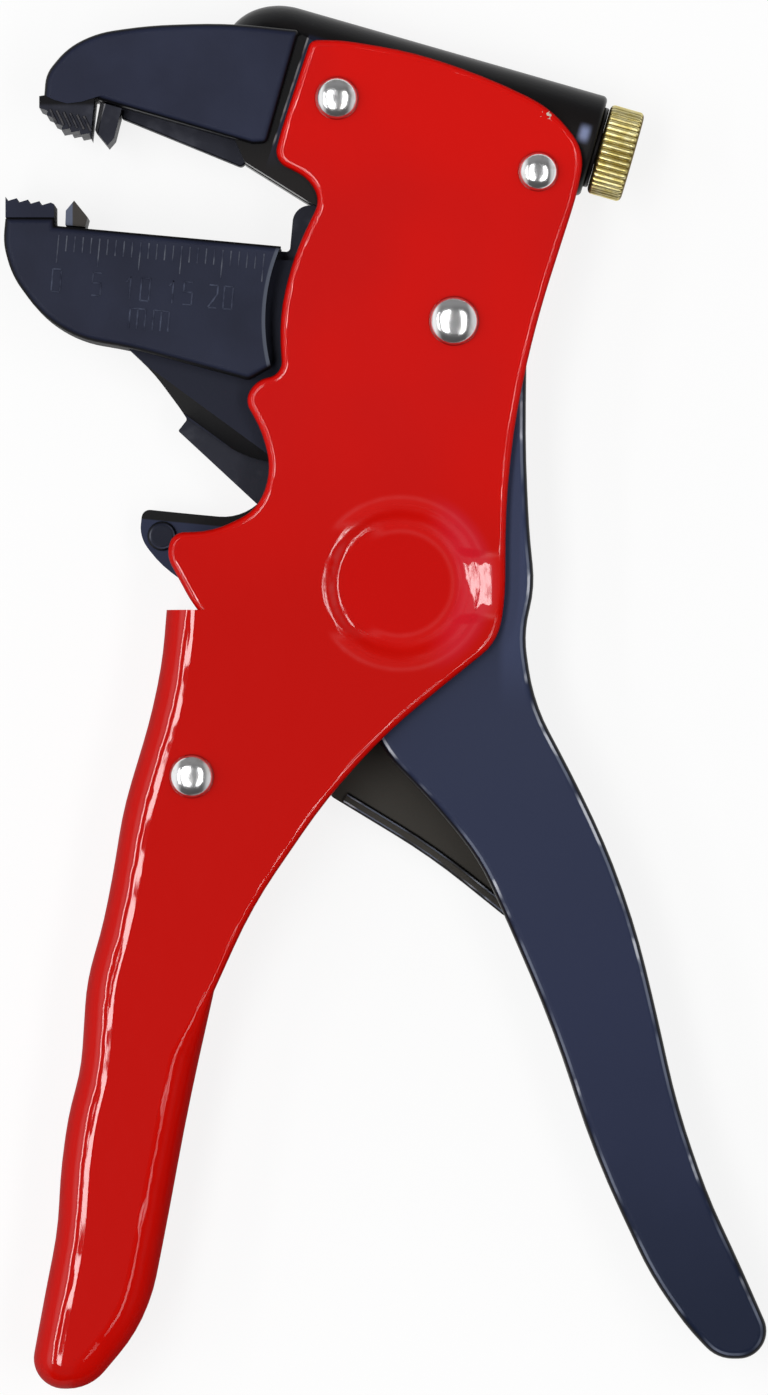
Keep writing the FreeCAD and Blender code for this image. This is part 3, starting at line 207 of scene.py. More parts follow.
# Dish: round and shallow, pressed into both plates near the pivot. Right of the near one the enamel
# has pooled: it climbs evenly from the floor to the plate, and there a ragged white patch of the
# left light shows, in a soft pink haze, part of it a painted pink sheen on the rim's right side.
DISH = (-6.5 * MM, -31.8 * MM, 16.5 * MM)
DISH_FLOOR, DISH_MOUTH, DISH_DEPTH = 7.1 * MM, 9.7 * MM, 0.7 * MM
DISH_FADE = (10.8 * MM, 11.3 * MM)
FLOOR_FADE = (DISH_FLOOR - 1.0 * MM, DISH_FLOOR + 2.0 * MM)
RIM_SPAN, RIM_BLUR = (DISH_FLOOR - 0.3 * MM, DISH_MOUTH + 0.3 * MM), 1.2 * MM
PINK_SPAN, PINK_BLUR = (DISH_FLOOR + 0.8 * MM, DISH_MOUTH + 0.6 * MM), 1.8 * MM
LEFT_RIM_SIDE = (-11 * MM, -8 * MM)
LEFT_RIM_SPAN, LEFT_RIM_BLUR = (-37 * MM, -26 * MM), 2 * MM
RIM_BREAK = 2.4 * MM
PATCH_TOP, PATCH_FOOT = -29.5 * MM, -34.3 * MM
PATCH_LEFT, PATCH_RIGHT = 1.1 * MM, 4.6 * MM
PATCH_LEAN = 0.28
PATCH_RAGGED, PATCH_GRAIN = 2.2 * MM, 1.1 * MM
POOL_SPAN, POOL_BLUR = (PATCH_FOOT - 1.0 * MM, PATCH_TOP + 0.6 * MM), 1.5 * MM
POOL_BEGIN = (-4 * MM, -2 * MM)
POOL_CLIMB = (0.2 * MM, 5.6 * MM)
POOL_FILL = 0.85
HAZE_LEFT, HAZE_RIGHT = (0.0, 1.5 * MM), (5.4 * MM, 6.4 * MM)
PINK_BEGIN = (-4 * MM, 1 * MM)
STREAK_TURN, STREAK_STRETCH, STREAK_SIZE = (0.0, 0.0, 0.9), (1.0, 0.3, 1.0), 0.5 * MM

from_dish = enamel.place.away(DISH)
on_dish = 1.0 - from_dish.rise(*DISH_FADE)
on_floor = 1.0 - from_dish.rise(*FLOOR_FADE)
rim_way = 2.0 * from_dish.ramp(DISH_FLOOR, DISH_MOUTH) - 1.0
rim_rise = 0.5 + 0.5 * rim_way * (2.0 - abs(rim_way))
beside = upward.band(*POOL_SPAN, POOL_BLUR) * across.rise(*POOL_BEGIN)
pooled = beside * (POOL_FILL * across.rise(*POOL_CLIMB) - rim_rise)

torn = PATCH_RAGGED * (enamel.place.noise(PATCH_GRAIN, 3.0) - 0.5)
leaning = across - PATCH_LEAN * (PATCH_TOP - upward)
patch = (leaning + 0.3 * torn).rise(PATCH_LEFT - 0.1 * MM, PATCH_LEFT + 0.15 * MM)
patch = patch * (1.0 - (across + 0.1 * torn).rise(PATCH_RIGHT - 0.1 * MM, PATCH_RIGHT + 0.05 * MM))
patch = patch * (upward + torn).band(PATCH_FOOT, PATCH_TOP, 0.25 * MM)
slant = {"Vector": enamel.place, "Rotation": STREAK_TURN, "Scale": STREAK_STRETCH}
streaks = enamel.place.add("ShaderNodeMapping", {}, slant).noise(STREAK_SIZE).rise(0.36, 0.56)

left_rim = (1.0 - across.rise(*LEFT_RIM_SIDE)) * upward.band(*LEFT_RIM_SPAN, LEFT_RIM_BLUR)
broken = enamel.place.noise(RIM_BREAK).rise(0.36, 0.54)
on_rim = from_dish.band(*RIM_SPAN, RIM_BLUR)
on_rim = on_rim * (1.0 - left_rim + left_rim * sloping * (1.0 - broken))
haze = beside * across.rise(*HAZE_LEFT) * (1.0 - across.rise(*HAZE_RIGHT))
quiet = haze.larger(on_rim) * (1.0 - patch)
pink = from_dish.band(*PINK_SPAN, PINK_BLUR) * across.rise(*PINK_BEGIN)

# Enamel: its red is brighter on the plates than on the grip, and on steep faces it is painted darker,
# a painted shade deep in the folds. Its gloss is a thin film over the red, dulled where the folds are
# steep and along the edges.
ENAMEL_RED = (0.59, 0.0052, 0.0038, 1.0)
ENAMEL_BRIGHT = (0.68, 0.0046, 0.0022, 1.0)
ENAMEL_STEEP_SHADE = (0.40, 0.0022, 0.0012, 1.0)
GRIP_RED = (0.540, 0.0034, 0.0012, 1.0)
GRIP_FADE = (-38 * MM, -6 * MM)
FLOOR_RED = (0.575, 0.0022, 0.0006, 1.0)
PINK_SHEEN_RED, PINK_SHARE = (0.58, 0.0110, 0.0220, 1.0), 0.9
DUST = (0.66, 0.16, 0.13, 1.0)
DUST_SPECKS = (7 * MM, 0.09, 0.16 * MM)
GRIME = (0.10, 0.004, 0.005, 1.0)
GRIME_SPECKS = (13 * MM, 0.06, 0.22 * MM)
BARE_METAL = (0.60, 0.52, 0.44, 1.0)
CHIP = (11.3 * MM, 25.0 * MM, 16.7 * MM)
CHIP_RADIUS, CHIP_BLUR = 0.25 * MM, 0.15 * MM
CHIP_RAGGED, CHIP_GRAIN = 3.0 * MM, 0.6 * MM
CLOUD_SIZE = 35 * MM
PEEL_SIZE, SAG_SIZE, RUN_SIZE = 1.6 * MM, 3.2 * MM, 9 * MM
ENAMEL_RELIEF = 0.13 * MM
PEEL_RISE, SAG_RISE, RUN_RISE, DUST_RISE, CHIP_DROP = 0.10, 0.7, 3.0, 0.2, 0.6
FLAT_RIPPLE = 0.3
GLOSS_ROUGHNESS, QUIET_ROUGHNESS, SPECK_ROUGHNESS, DULL_ROUGHNESS = 0.07, 0.28, 0.3, 0.6
STEEP_GLOSS = 0.15
EDGE_DULL, LIP_DULL, QUIET_DULL, STREAK_DULL = 0.55, 0.6, 0.90, 0.5

clouds = enamel.place.noise(CLOUD_SIZE)
dust = enamel.place.specks(*DUST_SPECKS)
grime = enamel.place.specks(*GRIME_SPECKS)
ragged = CHIP_RAGGED * (enamel.place.noise(CHIP_GRAIN, 4.0) - 0.5)
chip = 1.0 - (enamel.place.away(CHIP) + ragged).rise(CHIP_RADIUS, CHIP_RADIUS + CHIP_BLUR)
red = clouds.rise(0.35, 0.65).colour(ENAMEL_RED, ENAMEL_BRIGHT)
red = upward.rise(*GRIP_FADE).colour(GRIP_RED, red)
# Painted shade: the red turns darker where the faces are steep.
red = level.rise(0.30, 0.85).colour(ENAMEL_STEEP_SHADE, red)
red = on_floor.colour(red, FLOOR_RED)
# Painted sheen: the dish's rim is tinted pink on its right side.
red = (PINK_SHARE * pink).colour(red, PINK_SHEEN_RED)
red = dust.colour(red, DUST)
red = grime.colour(red, GRIME)
red = chip.colour(red, BARE_METAL)
enamel.link("Base Color", red)
enamel.link("Roughness", GLOSS_ROUGHNESS + QUIET_ROUGHNESS * quiet + SPECK_ROUGHNESS * (dust + chip))

orange_peel = enamel.place.noise(PEEL_SIZE, 1.0)
sags = enamel.place.noise(SAG_SIZE, 1.0) - 0.5
runs = enamel.place.noise(RUN_SIZE, 1.0) - 0.5
ripple = (FLAT_RIPPLE + (1.0 - FLAT_RIPPLE) * sloping) * (SAG_RISE * sags + RUN_RISE * runs)
relief = PEEL_RISE * orange_peel + ripple + DUST_RISE * dust - CHIP_DROP * chip
relief = relief + DISH_DEPTH / ENAMEL_RELIEF * pooled
enamel.link("Normal", relief.bump(ENAMEL_RELIEF))

plate_edge = sloping * (1.0 - on_web) * (1.0 - on_dish)
gloss = STEEP_GLOSS + (1.0 - STEEP_GLOSS) * level.rise(0.82, 0.93)
gloss = gloss * (1.0 - EDGE_DULL * plate_edge) * (1.0 - LIP_DULL * on_lip)
gloss = gloss * (1.0 - QUIET_DULL * quiet) * (1.0 - STREAK_DULL * patch * (1.0 - streaks))
dull_sockets = {"Base Color": red, "Roughness": DULL_ROUGHNESS, "Specular IOR Level": 0.0}
dull_red = red.add("ShaderNodeBsdfPrincipled", {}, dull_sockets)
enamel.mixed_with(1.0 - gloss * (1.0 - dust) * (1.0 - chip), dull_red)
enamel.onto("frame")

# Upper jaw: a casting with the spring tube along its top, riveted between the plates. A thin
# blue-black coat covers it; its broad faces are rubbed bluish and its sides are painted near-black as
# painted shade. A painted highlight line runs along the edge of the tenon that enters the frame,
# the gap beside it is painted near-black as painted shade, and a painted glint sits on the tube.
# Painted shade: the castings' steep sides are painted near-black.
COAT_SIDE_SHADE = (0.0045, 0.0045, 0.0055, 1.0)
COAT_SCUFF = (0.07, 0.08, 0.10, 1.0)
COAT_SPECULAR = 0.12
SCUFFS = (9 * MM, 0.10, 0.17 * MM)
SIDE_ROUGHNESS, FACE_ROUGHNESS, WORN_SMOOTHER = 0.30, 0.52, 0.10
SIDE_FACING = (0.60, 0.97)
WEAR_SIZE, RUB_SIZE = 14 * MM, 12 * MM
GRAIN_SIZE, GRAIN_SHARE, SWELL_SIZE, COAT_RELIEF = 0.35 * MM, 0.25, 9 * MM, 0.05 * MM


def cast_coat(name, side_roughness=SIDE_ROUGHNESS):
    """Finish of a coated casting, without its colour, and how level each spot of it lies."""
    finish = Finish(name, Specular_IOR_Level=COAT_SPECULAR)
    level = abs(finish.normal.parts()[2]).rise(*SIDE_FACING)
    worn = finish.place.noise(WEAR_SIZE, 3.0)
    rougher = FACE_ROUGHNESS - side_roughness - WORN_SMOOTHER * worn
    finish.link("Roughness", side_roughness + level * rougher)
    grain = finish.place.noise(GRAIN_SIZE)
    swell = finish.place.noise(SWELL_SIZE, 1.0)
    finish.link("Normal", (GRAIN_SHARE * grain + swell).bump(COAT_RELIEF))
    return finish, level


def rubbed_face(finish, low, high):
    """A colour between the low and the high one, in clouds where hands have rubbed the coat."""
    return finish.place.noise(RUB_SIZE, 3.0).rise(0.3, 0.7).colour(low, high)


def scuffed(finish, colour):
    """The colour with a few pale scuffs."""
    return finish.place.specks(*SCUFFS).colour(colour, COAT_SCUFF)


UPPER_FACE = (0.0130, 0.0160, 0.0360, 1.0)
UPPER_RUBBED = (0.0200, 0.0245, 0.0520, 1.0)
TUBE_COAT = (0.0080, 0.0066, 0.0066, 1.0)
TUBE_WAY, TUBE_SIDE = (0.961, -0.276, 0.0), (-0.276, -0.961, 0.0)
CHEEK_LEVEL, CHEEK_BLUR = 16.0 * MM, 0.4 * MM
TENON_WAY = (0.951, -0.310, 0.0)
TENON_EDGE, TENON_WIDTH = -27.5 * MM, 3.0 * MM
TENON_HEAD, TENON_FOOT, TENON_BLUR = (-28.9 * MM, -28.3 * MM), (18 * MM, 24 * MM), 0.1 * MM
GAP_WIDTH = 6 * MM
GAP_SHADE = (0.0008, 0.0008, 0.0012, 1.0)
TENON_EDGE_HIGHLIGHT = (0.17, 0.17, 0.175, 1.0)
HIGHLIGHT_HALF, HIGHLIGHT_BLUR, HIGHLIGHT_FOOT = 0.08 * MM, 0.06 * MM, (21.2 * MM, 22.2 * MM)
HIGHLIGHT_BREAK = 2.5 * MM
GLINT_COAT = (0.22, 0.26, 0.42, 1.0)
GLINT_ALONG, GLINT_ALONG_BLUR = (8.8 * MM, 9.0 * MM), 0.9 * MM
GLINT_BESIDE, GLINT_BESIDE_BLUR = (-26.5 * MM, -26.1 * MM), 1.3 * MM

upper_coat, upper_level = cast_coat("upper_jaw_coat")
_, upward, height = upper_coat.place.parts()
tenon_way = upper_coat.place.along(TENON_WAY)
tube_way = upper_coat.place.along(TUBE_WAY)
tube_side = upper_coat.place.along(TUBE_SIDE)
under_tube = tube_side.rise(*TENON_HEAD) * upward.rise(*TENON_FOOT)
on_cheek = height.rise(CHEEK_LEVEL - CHEEK_BLUR, CHEEK_LEVEL)
on_tenon = tenon_way.band(TENON_EDGE, TENON_EDGE + TENON_WIDTH, TENON_BLUR) * under_tube
face = on_cheek.larger(on_tenon).colour(TUBE_COAT, rubbed_face(upper_coat, UPPER_FACE, UPPER_RUBBED))
# Painted shade: the gap beside the tenon is painted near-black.
gap_shade = tenon_way.band(TENON_EDGE - GAP_WIDTH, TENON_EDGE - TENON_BLUR, TENON_BLUR) * under_tube
face = (gap_shade * (1.0 - on_cheek)).colour(face, GAP_SHADE)
# Painted highlight: a broken pale line along the tenon's edge.
tenon_highlight = tenon_way.band(TENON_EDGE - HIGHLIGHT_HALF, TENON_EDGE + HIGHLIGHT_HALF, HIGHLIGHT_BLUR) * upward.rise(*HIGHLIGHT_FOOT)
tenon_highlight = tenon_highlight * (1.0 - on_cheek) * upper_coat.place.noise(HIGHLIGHT_BREAK).rise(0.35, 0.6)
face = tenon_highlight.colour(face, TENON_EDGE_HIGHLIGHT)
glint = tube_way.band(*GLINT_ALONG, GLINT_ALONG_BLUR) * tube_side.band(*GLINT_BESIDE, GLINT_BESIDE_BLUR)
face = glint.colour(face, GLINT_COAT)
upper_coat.link("Base Color", scuffed(upper_coat, upper_level.colour(COAT_SIDE_SHADE, face)))
upper_coat.onto("upper_jaw")

# Lower jaw: the swinging casting, with a millimetre scale raised on its near cheek by the mould.
# The scale's lines and numbers are worn a little lighter than the coat round them.
LOWER_FACE = (0.0110, 0.0135, 0.0300, 1.0)
LOWER_RUBBED = (0.0175, 0.0215, 0.0450, 1.0)
LOWER_SIDE_ROUGHNESS = 0.62
NECK_COAT = (0.0098, 0.0118, 0.0255, 1.0)
ARC_EDGE_HIGHLIGHT, ARC_HIGHLIGHT_SHARE = (0.11, 0.125, 0.16, 1.0), 0.6
CHEEK_ARC, CHEEK_ARC_BLUR = (22.9 * MM, 23.25 * MM), 0.15 * MM

lower_coat, lower_level = cast_coat("lower_jaw_coat", LOWER_SIDE_ROUGHNESS)
across, upward, height = lower_coat.place.parts()
from_pivot = (across * across + upward * upward).root()
on_cheek = height.rise(CHEEK_LEVEL - CHEEK_BLUR, CHEEK_LEVEL)
face = on_cheek.colour(NECK_COAT, rubbed_face(lower_coat, LOWER_FACE, LOWER_RUBBED))
# Painted highlight: a lighter line along the cheek's curved back edge, round the pivot.
arc_highlight = from_pivot.band(*CHEEK_ARC, CHEEK_ARC_BLUR) * on_cheek
face = (ARC_HIGHLIGHT_SHARE * arc_highlight).colour(face, ARC_EDGE_HIGHLIGHT)
# Painted shade: the lower jaw's steep sides are painted near-black.
lower_coat.link("Base Color", scuffed(lower_coat, lower_level.colour(COAT_SIDE_SHADE, face)))
lower_coat.onto("lower_jaw", "lower_grip_pad")

# Scale: ticks at every millimetre, longer at every fifth, and numbers below them, all measured from
# the jaw's corner along its edge and square to it. They stand proud of the cheek by a hair.
TICK_COAT = (0.105, 0.115, 0.145, 1.0)
NUMBER_COAT = (0.058, 0.068, 0.108, 1.0)
RELIEF_WEAR, RELIEF_ROUGHNESS, RELIEF_UNEVEN = 1.5 * MM, 0.36, 0.2
SCALE_CORNER = Vector((-48.4 * MM, 11.6 * MM, 0.0))
SCALE_LEVEL, SCALE_RISE, SCALE_SINK = 16.4 * MM, 0.06 * MM, 0.05 * MM
TICKS, LONG_EVERY = 26, 5
FIRST_TICK, TICK_STEP, TICK_TOP = 0.6 * MM, 1.0 * MM, 1.1 * MM
LONG_TICK, SHORT_TICK, TICK_WIDTH = 3.4 * MM, 1.9 * MM, 0.22 * MM
DIGIT_WIDTH, DIGIT_HEIGHT, STROKE_WIDTH = 1.05 * MM, 2.75 * MM, 0.30 * MM
DIGIT_STEP = 1.85 * MM
LETTER_STEP = 1.55 * DIGIT_STEP
STROKES = {
    "0": [(0, 0, 1, 0), (1, 0, 1, 1), (1, 1, 0, 1), (0, 1, 0, 0)],
    "1": [(0.5, 0, 0.5, 1), (0.5, 1, 0.05, 0.75)],
    "2": [(0, 1, 1, 1), (1, 1, 1, 0.6), (1, 0.6, 0, 0), (0, 0, 1, 0)],
    "5": [(1, 1, 0, 1), (0, 1, 0, 0.55), (0, 0.55, 1, 0.55), (1, 0.55, 1, 0), (1, 0, 0, 0)],
    "m": [(0, 0, 0, 0.9), (0, 0.9, 1.8, 0.9), (0.9, 0.9, 0.9, 0), (1.8, 0.9, 1.8, 0)],
}
WORDS = [
    ("0", 0.8 * MM, 8.0 * MM),
    ("5", 5.7 * MM, 8.0 * MM),
    ("10", 10.7 * MM, 8.1 * MM),
    ("15", 15.9 * MM, 8.1 * MM),
    ("20", 20.8 * MM, 8.2 * MM),
    ("mm", 12.0 * MM, 11.6 * MM),
]

joints = {joint["name"]: joint for joint in frame["record"]["behaviour"]["joints"]}
jaw_edge = Vector(joints["lower_blade_pull"]["axis"])
jaw_depth = Vector((jaw_edge.y, -jaw_edge.x, 0.0))


def worn_relief(name, low, high):
    """Finish of lines that stand proud of the coat: worn from the low colour to the high one."""
    finish = Finish(name, Specular_IOR_Level=COAT_SPECULAR)
    rubbed = finish.place.noise(RELIEF_WEAR, 3.0)
    finish.link("Base Color", rubbed.rise(0.3, 0.75).colour(low, high))
    finish.link("Roughness", RELIEF_ROUGHNESS + RELIEF_UNEVEN * rubbed)
    return finish


def add_piece(name, mesh, finish, body):
    """A new piece of the tool: it rides on a body and takes a finish that stands for a slot."""
    piece = bpy.data.objects.new(name, mesh)
    bpy.context.scene.collection.objects.link(piece)
    mesh.materials.clear()
    mesh.materials.append(finish.material)
    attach(piece, body)
    return piece


def ridges(name, starts, ends, width, foot, top):
    """Straight ridges between pairs of points, each a bar whose top is half as wide as its foot:
    corner = end of the line + or - half the width to its side, at the foot's level and the top's."""
    way = ends - starts
    way = way / np.linalg.norm(way, axis=1, keepdims=True)
    half = np.stack([-way[:, 1], way[:, 0]], axis=1) * width / 2
    rings = []
    for share, level in ((1.0, foot), (0.5, top)):
        side = half * share
        ring = np.stack([starts + side, starts - side, ends - side, ends + side], axis=1)
        rings.append(np.concatenate([ring, np.full((*ring.shape[:2], 1), level)], axis=2))
    points = np.concatenate(rings, axis=1).reshape(-1, 3)
    box = np.array([(3, 2, 1, 0), (4, 5, 6, 7), (0, 1, 5, 4), (1, 2, 6, 5), (2, 3, 7, 6), (3, 0, 4, 7)])
    faces = (box + 8 * np.arange(len(starts))[:, None, None]).reshape(-1, 4)
    mesh = bpy.data.meshes.new(name)
    mesh.from_pydata(points.tolist(), [], faces.tolist())
    return mesh


along_edge, into_jaw, corner = (np.array(vector.xy) for vector in (jaw_edge, jaw_depth, SCALE_CORNER))
scale_foot, scale_top = SCALE_LEVEL - SCALE_SINK, SCALE_LEVEL + SCALE_RISE
numbers = np.arange(TICKS)
tick_lengths = np.where(numbers % LONG_EVERY == 0, LONG_TICK, SHORT_TICK)
tick_tops = corner + along_edge * (FIRST_TICK + numbers * TICK_STEP)[:, None] + into_jaw * TICK_TOP
tick_feet = tick_tops + into_jaw * tick_lengths[:, None]
ticks = ridges("scale_ticks", tick_tops, tick_feet, TICK_WIDTH, scale_foot, scale_top)
tick_coat = worn_relief("tick_coat", LOWER_RUBBED, TICK_COAT)
add_piece("scale_ticks", ticks, tick_coat, "lower_jaw")

strokes = []
for word, along, below in WORDS:
    step = DIGIT_STEP if word.isdigit() else LETTER_STEP
    for place, sign in enumerate(word):
        left = along + (place - (len(word) - 1) / 2) * step - DIGIT_WIDTH / 2
        shape = np.array(STROKES[sign], dtype=float).reshape(-1, 2, 2) * (DIGIT_WIDTH, -DIGIT_HEIGHT)
        strokes.append(shape + (left, below))
strokes = np.concatenate(strokes) @ np.stack([along_edge, into_jaw]) + corner
words = ridges("scale_numbers", strokes[:, 0], strokes[:, 1], STROKE_WIDTH, scale_foot, scale_top)
number_coat = worn_relief("number_coat", LOWER_FACE, NUMBER_COAT)
add_piece("scale_numbers", words, number_coat, "lower_jaw")

# Handle: a cast channel lever whose far wall carries the cutter's arm. The coat is painted lighter and
# bluer towards the pivot as a painted sheen, with a painted bluish sheen near its right edge; its sides
# and a strip along the arm's top edge are painted near-black as painted shade, and its rounded edges
# carry painted highlight lines and glints. Inside, where no hand reaches, it is brownish.
HANDLE_LOW = (0.0060, 0.0110, 0.0320, 1.0)
HANDLE_MID = (0.0180, 0.0245, 0.0610, 1.0)
HANDLE_HIGH = (0.0230, 0.0300, 0.0660, 1.0)
LOW_FADE, HIGH_FADE = (-118 * MM, -70 * MM), (-80 * MM, -22 * MM)
GRADIENT_WANDER, GRADIENT_CLOUD = 20 * MM, 18 * MM
INSIDE_COAT = (0.0380, 0.0340, 0.0280, 1.0)
INSIDE_LEVEL, INSIDE_FADE = (6.0 * MM, 6.5 * MM), (-50 * MM, -42 * MM)
INSIDE_FACING = (0.2, 0.6)
ARM_EDGE = Vector((0.0956, 1.0, 0.0)).normalized()
ARM_CORNER = Vector((-38.0 * MM, -22.6 * MM, 0.0))
ARM_STRIP, ARM_BLUR, ARM_FADE = 1.1 * MM, 0.2 * MM, (-24 * MM, -22 * MM)
BOSS = (-35.6 * MM, -25.8 * MM, 5.7 * MM)
BOSS_RIM = (1.4 * MM, 2.0 * MM)
BOSS_COAT = (0.0110, 0.0135, 0.0270, 1.0)
SHEEN_COAT, SHEEN_SHARE = (0.0400, 0.0520, 0.1120, 1.0), 0.8
SHEEN_SPAN, SHEEN_BLUR, SHEEN_FADE = (6.4 * MM, 8.4 * MM), 1.4 * MM, (-48 * MM, -38 * MM)
EDGE_FACING, EDGE_BLUR = (0.82, 0.92), 0.05
EDGE_HIGHLIGHT, EDGE_SHARE, EDGE_BREAK = (0.15, 0.17, 0.23, 1.0), 0.8, 7 * MM
EDGE_GLINT, EDGE_GLINT_BREAK = (0.50, 0.52, 0.58, 1.0), 6 * MM

handle_coat, handle_level = cast_coat("handle_coat")
across, upward, height = handle_coat.place.parts()
facing_up = handle_coat.normal.parts()[2]
# Painted sheen: darker towards the grip's end, lighter and bluer towards the pivot, in uneven clouds.
sheen_gradient = upward + GRADIENT_WANDER * handle_coat.place.noise(GRADIENT_CLOUD, 3.0)
face = sheen_gradient.rise(*LOW_FADE).colour(HANDLE_LOW, HANDLE_MID)
face = sheen_gradient.rise(*HIGH_FADE).colour(face, HANDLE_HIGH)
inside = (1.0 - height.rise(*INSIDE_LEVEL)) * facing_up.rise(*INSIDE_FACING)
face = (inside * (1.0 - upward.rise(*INSIDE_FADE))).colour(face, INSIDE_COAT)
# Painted shade: a near-black strip along the top edge of the cutter's arm.
strip_edge = ARM_EDGE.dot(ARM_CORNER) - ARM_STRIP
strip = inside * handle_coat.place.along(ARM_EDGE).rise(strip_edge - ARM_BLUR, strip_edge)
face = (strip * (1.0 - across.rise(*ARM_FADE))).colour(face, COAT_SIDE_SHADE)
face = (1.0 - handle_coat.place.away(BOSS).rise(*BOSS_RIM)).colour(face, BOSS_COAT)
sheen = across.band(*SHEEN_SPAN, SHEEN_BLUR) * upward.rise(*SHEEN_FADE)
face = (SHEEN_SHARE * sheen * (1.0 - inside)).colour(face, SHEEN_COAT)
coat = scuffed(handle_coat, handle_level.colour(COAT_SIDE_SHADE, face))
# Painted highlight: broken lighter lines on the rounded edges, with whiter painted glints on them.
edge_highlight = abs(facing_up).band(*EDGE_FACING, EDGE_BLUR)
edge_highlight = edge_highlight * handle_coat.place.noise(EDGE_BREAK).rise(0.35, 0.6)
coat = (EDGE_SHARE * edge_highlight).colour(coat, EDGE_HIGHLIGHT)
edge_glint = edge_highlight * handle_coat.place.noise(EDGE_GLINT_BREAK, 3.0).rise(0.54, 0.64)
handle_coat.link("Base Color", edge_glint.colour(coat, EDGE_GLINT))
handle_coat.onto("handle")

# Grip pads, blades, blade bars and cutter: blackened tool steel, milled and left with fine marks.
# The pads are seated on the jaws and the blades on their bars; the near face of the upper pad is
# cut with slanted ridges.
BLACK_STEEL = (0.017, 0.018, 0.026, 1.0)
WORN_STEEL = (0.045, 0.047, 0.060, 1.0)
SEAT_SHADE = (0.004, 0.004, 0.005, 1.0)
PALE_FLANK_STEEL = (0.14, 0.14, 0.15, 1.0)
FLANK_STEEL = (0.085, 0.098, 0.140, 1.0)
BROWNED_STEEL = (0.040, 0.036, 0.033, 1.0)
STEEL_WEAR, STEEL_ROUGHNESS, STEEL_UNEVEN = 3 * MM, 0.42, 0.2
MILL_MARKS, MILL_DEPTH = 0.25 * MM, 0.01 * MM
SEAT_LEVEL = (26.0 * MM, 26.5 * MM)
UPPER_FLANK_WAY = (0.957, -0.291, 0.0)
UPPER_FLANK, FLANK_BLUR = (-48.65 * MM, -48.2 * MM), 0.1 * MM
LOWER_FLANK = (-46.4 * MM, -46.2 * MM)


def black_steel(name):
    """Finish of blackened tool steel, without its colour, and that colour."""
    finish = Finish(name, Metallic=0.6, Specular_IOR_Level=0.2)
    wear = finish.place.noise(STEEL_WEAR, 4.0)
    finish.link("Roughness", STEEL_ROUGHNESS + STEEL_UNEVEN * wear)
    finish.link("Normal", finish.place.noise(MILL_MARKS, 3.0).bump(MILL_DEPTH))
    return finish, wear.rise(0.5, 0.85).colour(BLACK_STEEL, WORN_STEEL)


steel, colour = black_steel("black_steel")
steel.link("Base Color", colour)
steel.onto("upper_blade_bar", "lower_blade_bar", "cutter_blade")

pad_steel, colour = black_steel("pad_steel")
# Painted shade: the pad's top, under the cheek's edge, is painted near-black.
seat = pad_steel.place.parts()[1].rise(*SEAT_LEVEL)
pad_steel.link("Base Color", seat.colour(colour, SEAT_SHADE))
pad_steel.onto("upper_grip_pad")

upper_steel, colour = black_steel("upper_blade_steel")
# The upper blade is painted paler in a band along its left flank.
flank = upper_steel.place.along(UPPER_FLANK_WAY).band(*UPPER_FLANK, FLANK_BLUR)
upper_steel.link("Base Color", flank.colour(colour, PALE_FLANK_STEEL))
upper_steel.onto("upper_blade")

lower_steel, _ = black_steel("lower_blade_steel")
flank = lower_steel.place.parts()[0].rise(*LOWER_FLANK)
lower_steel.link("Base Color", flank.colour(FLANK_STEEL, BROWNED_STEEL))
lower_steel.onto("lower_blade")

RIDGE_STEEL, RIDGE_WEAR = (0.058, 0.056, 0.060, 1.0), 0.7 * MM
RIDGE_COUNT = 6
RIDGE_FIRST = np.array((-49.0 * MM, 25.7 * MM))
RIDGE_STEP = np.array((0.82 * MM, -0.17 * MM))
RIDGE_RUN = np.array((0.85 * MM, -1.75 * MM))
RIDGE_WIDTH = 0.42 * MM
RIDGE_LEVEL, RIDGE_RISE, RIDGE_SINK = 16.1 * MM, 0.28 * MM, 0.05 * MM

ridge_steel, _ = black_steel("ridge_steel")
worn = ridge_steel.place.noise(RIDGE_WEAR, 3.0).rise(0.3, 0.7)
ridge_steel.link("Base Color", worn.colour(BLACK_STEEL, RIDGE_STEEL))
ridge_tops = RIDGE_FIRST + np.arange(RIDGE_COUNT)[:, None] * RIDGE_STEP
ridge_foot, ridge_top = RIDGE_LEVEL - RIDGE_SINK, RIDGE_LEVEL + RIDGE_RISE
teeth = ridges("pad_ridges", ridge_tops, ridge_tops + RIDGE_RUN, RIDGE_WIDTH, ridge_foot, ridge_top)
add_piece("pad_ridges", teeth, ridge_steel, "frame")

# Adjusting knob: turned brass with a fine straight knurl, pressed on the screw. The valleys of the
# knurl hold a brown tarnish, and the ridges are polished by fingers.
BRASS = (0.74, 0.62, 0.22, 1.0)
BRASS_WORN = (0.88, 0.80, 0.44, 1.0)
TARNISH = (0.16, 0.115, 0.030, 1.0)
SMEAR_SIZE, BRASS_ROUGHNESS, BRASS_UNEVEN = 0.9 * MM, 0.42, 0.10
BRASS_GRAIN, BRASS_RELIEF = 0.35 * MM, 0.01 * MM
KNOB_RADIUS, KNOB_LENGTH = 5.6 * MM, 4.3 * MM
BEVEL_LENGTH, BEVEL_DEPTH, BEVEL_RINGS = 0.55 * MM, 0.80 * MM, 7
BORE_RADIUS, BORE_DEPTH = 2.05 * MM, 3.65 * MM
KNURL_RIDGES, KNURL_DEPTH, KNURL_POWER = 42, 0.30 * MM, 0.9
POINTS_PER_RIDGE = 10
POLISHED_FADE = (KNOB_RADIUS - 0.95 * KNURL_DEPTH, KNOB_RADIUS - 0.3 * KNURL_DEPTH)
KNOB_MIDDLE = Vector(joints["adjuster_turn"]["pos_m"])
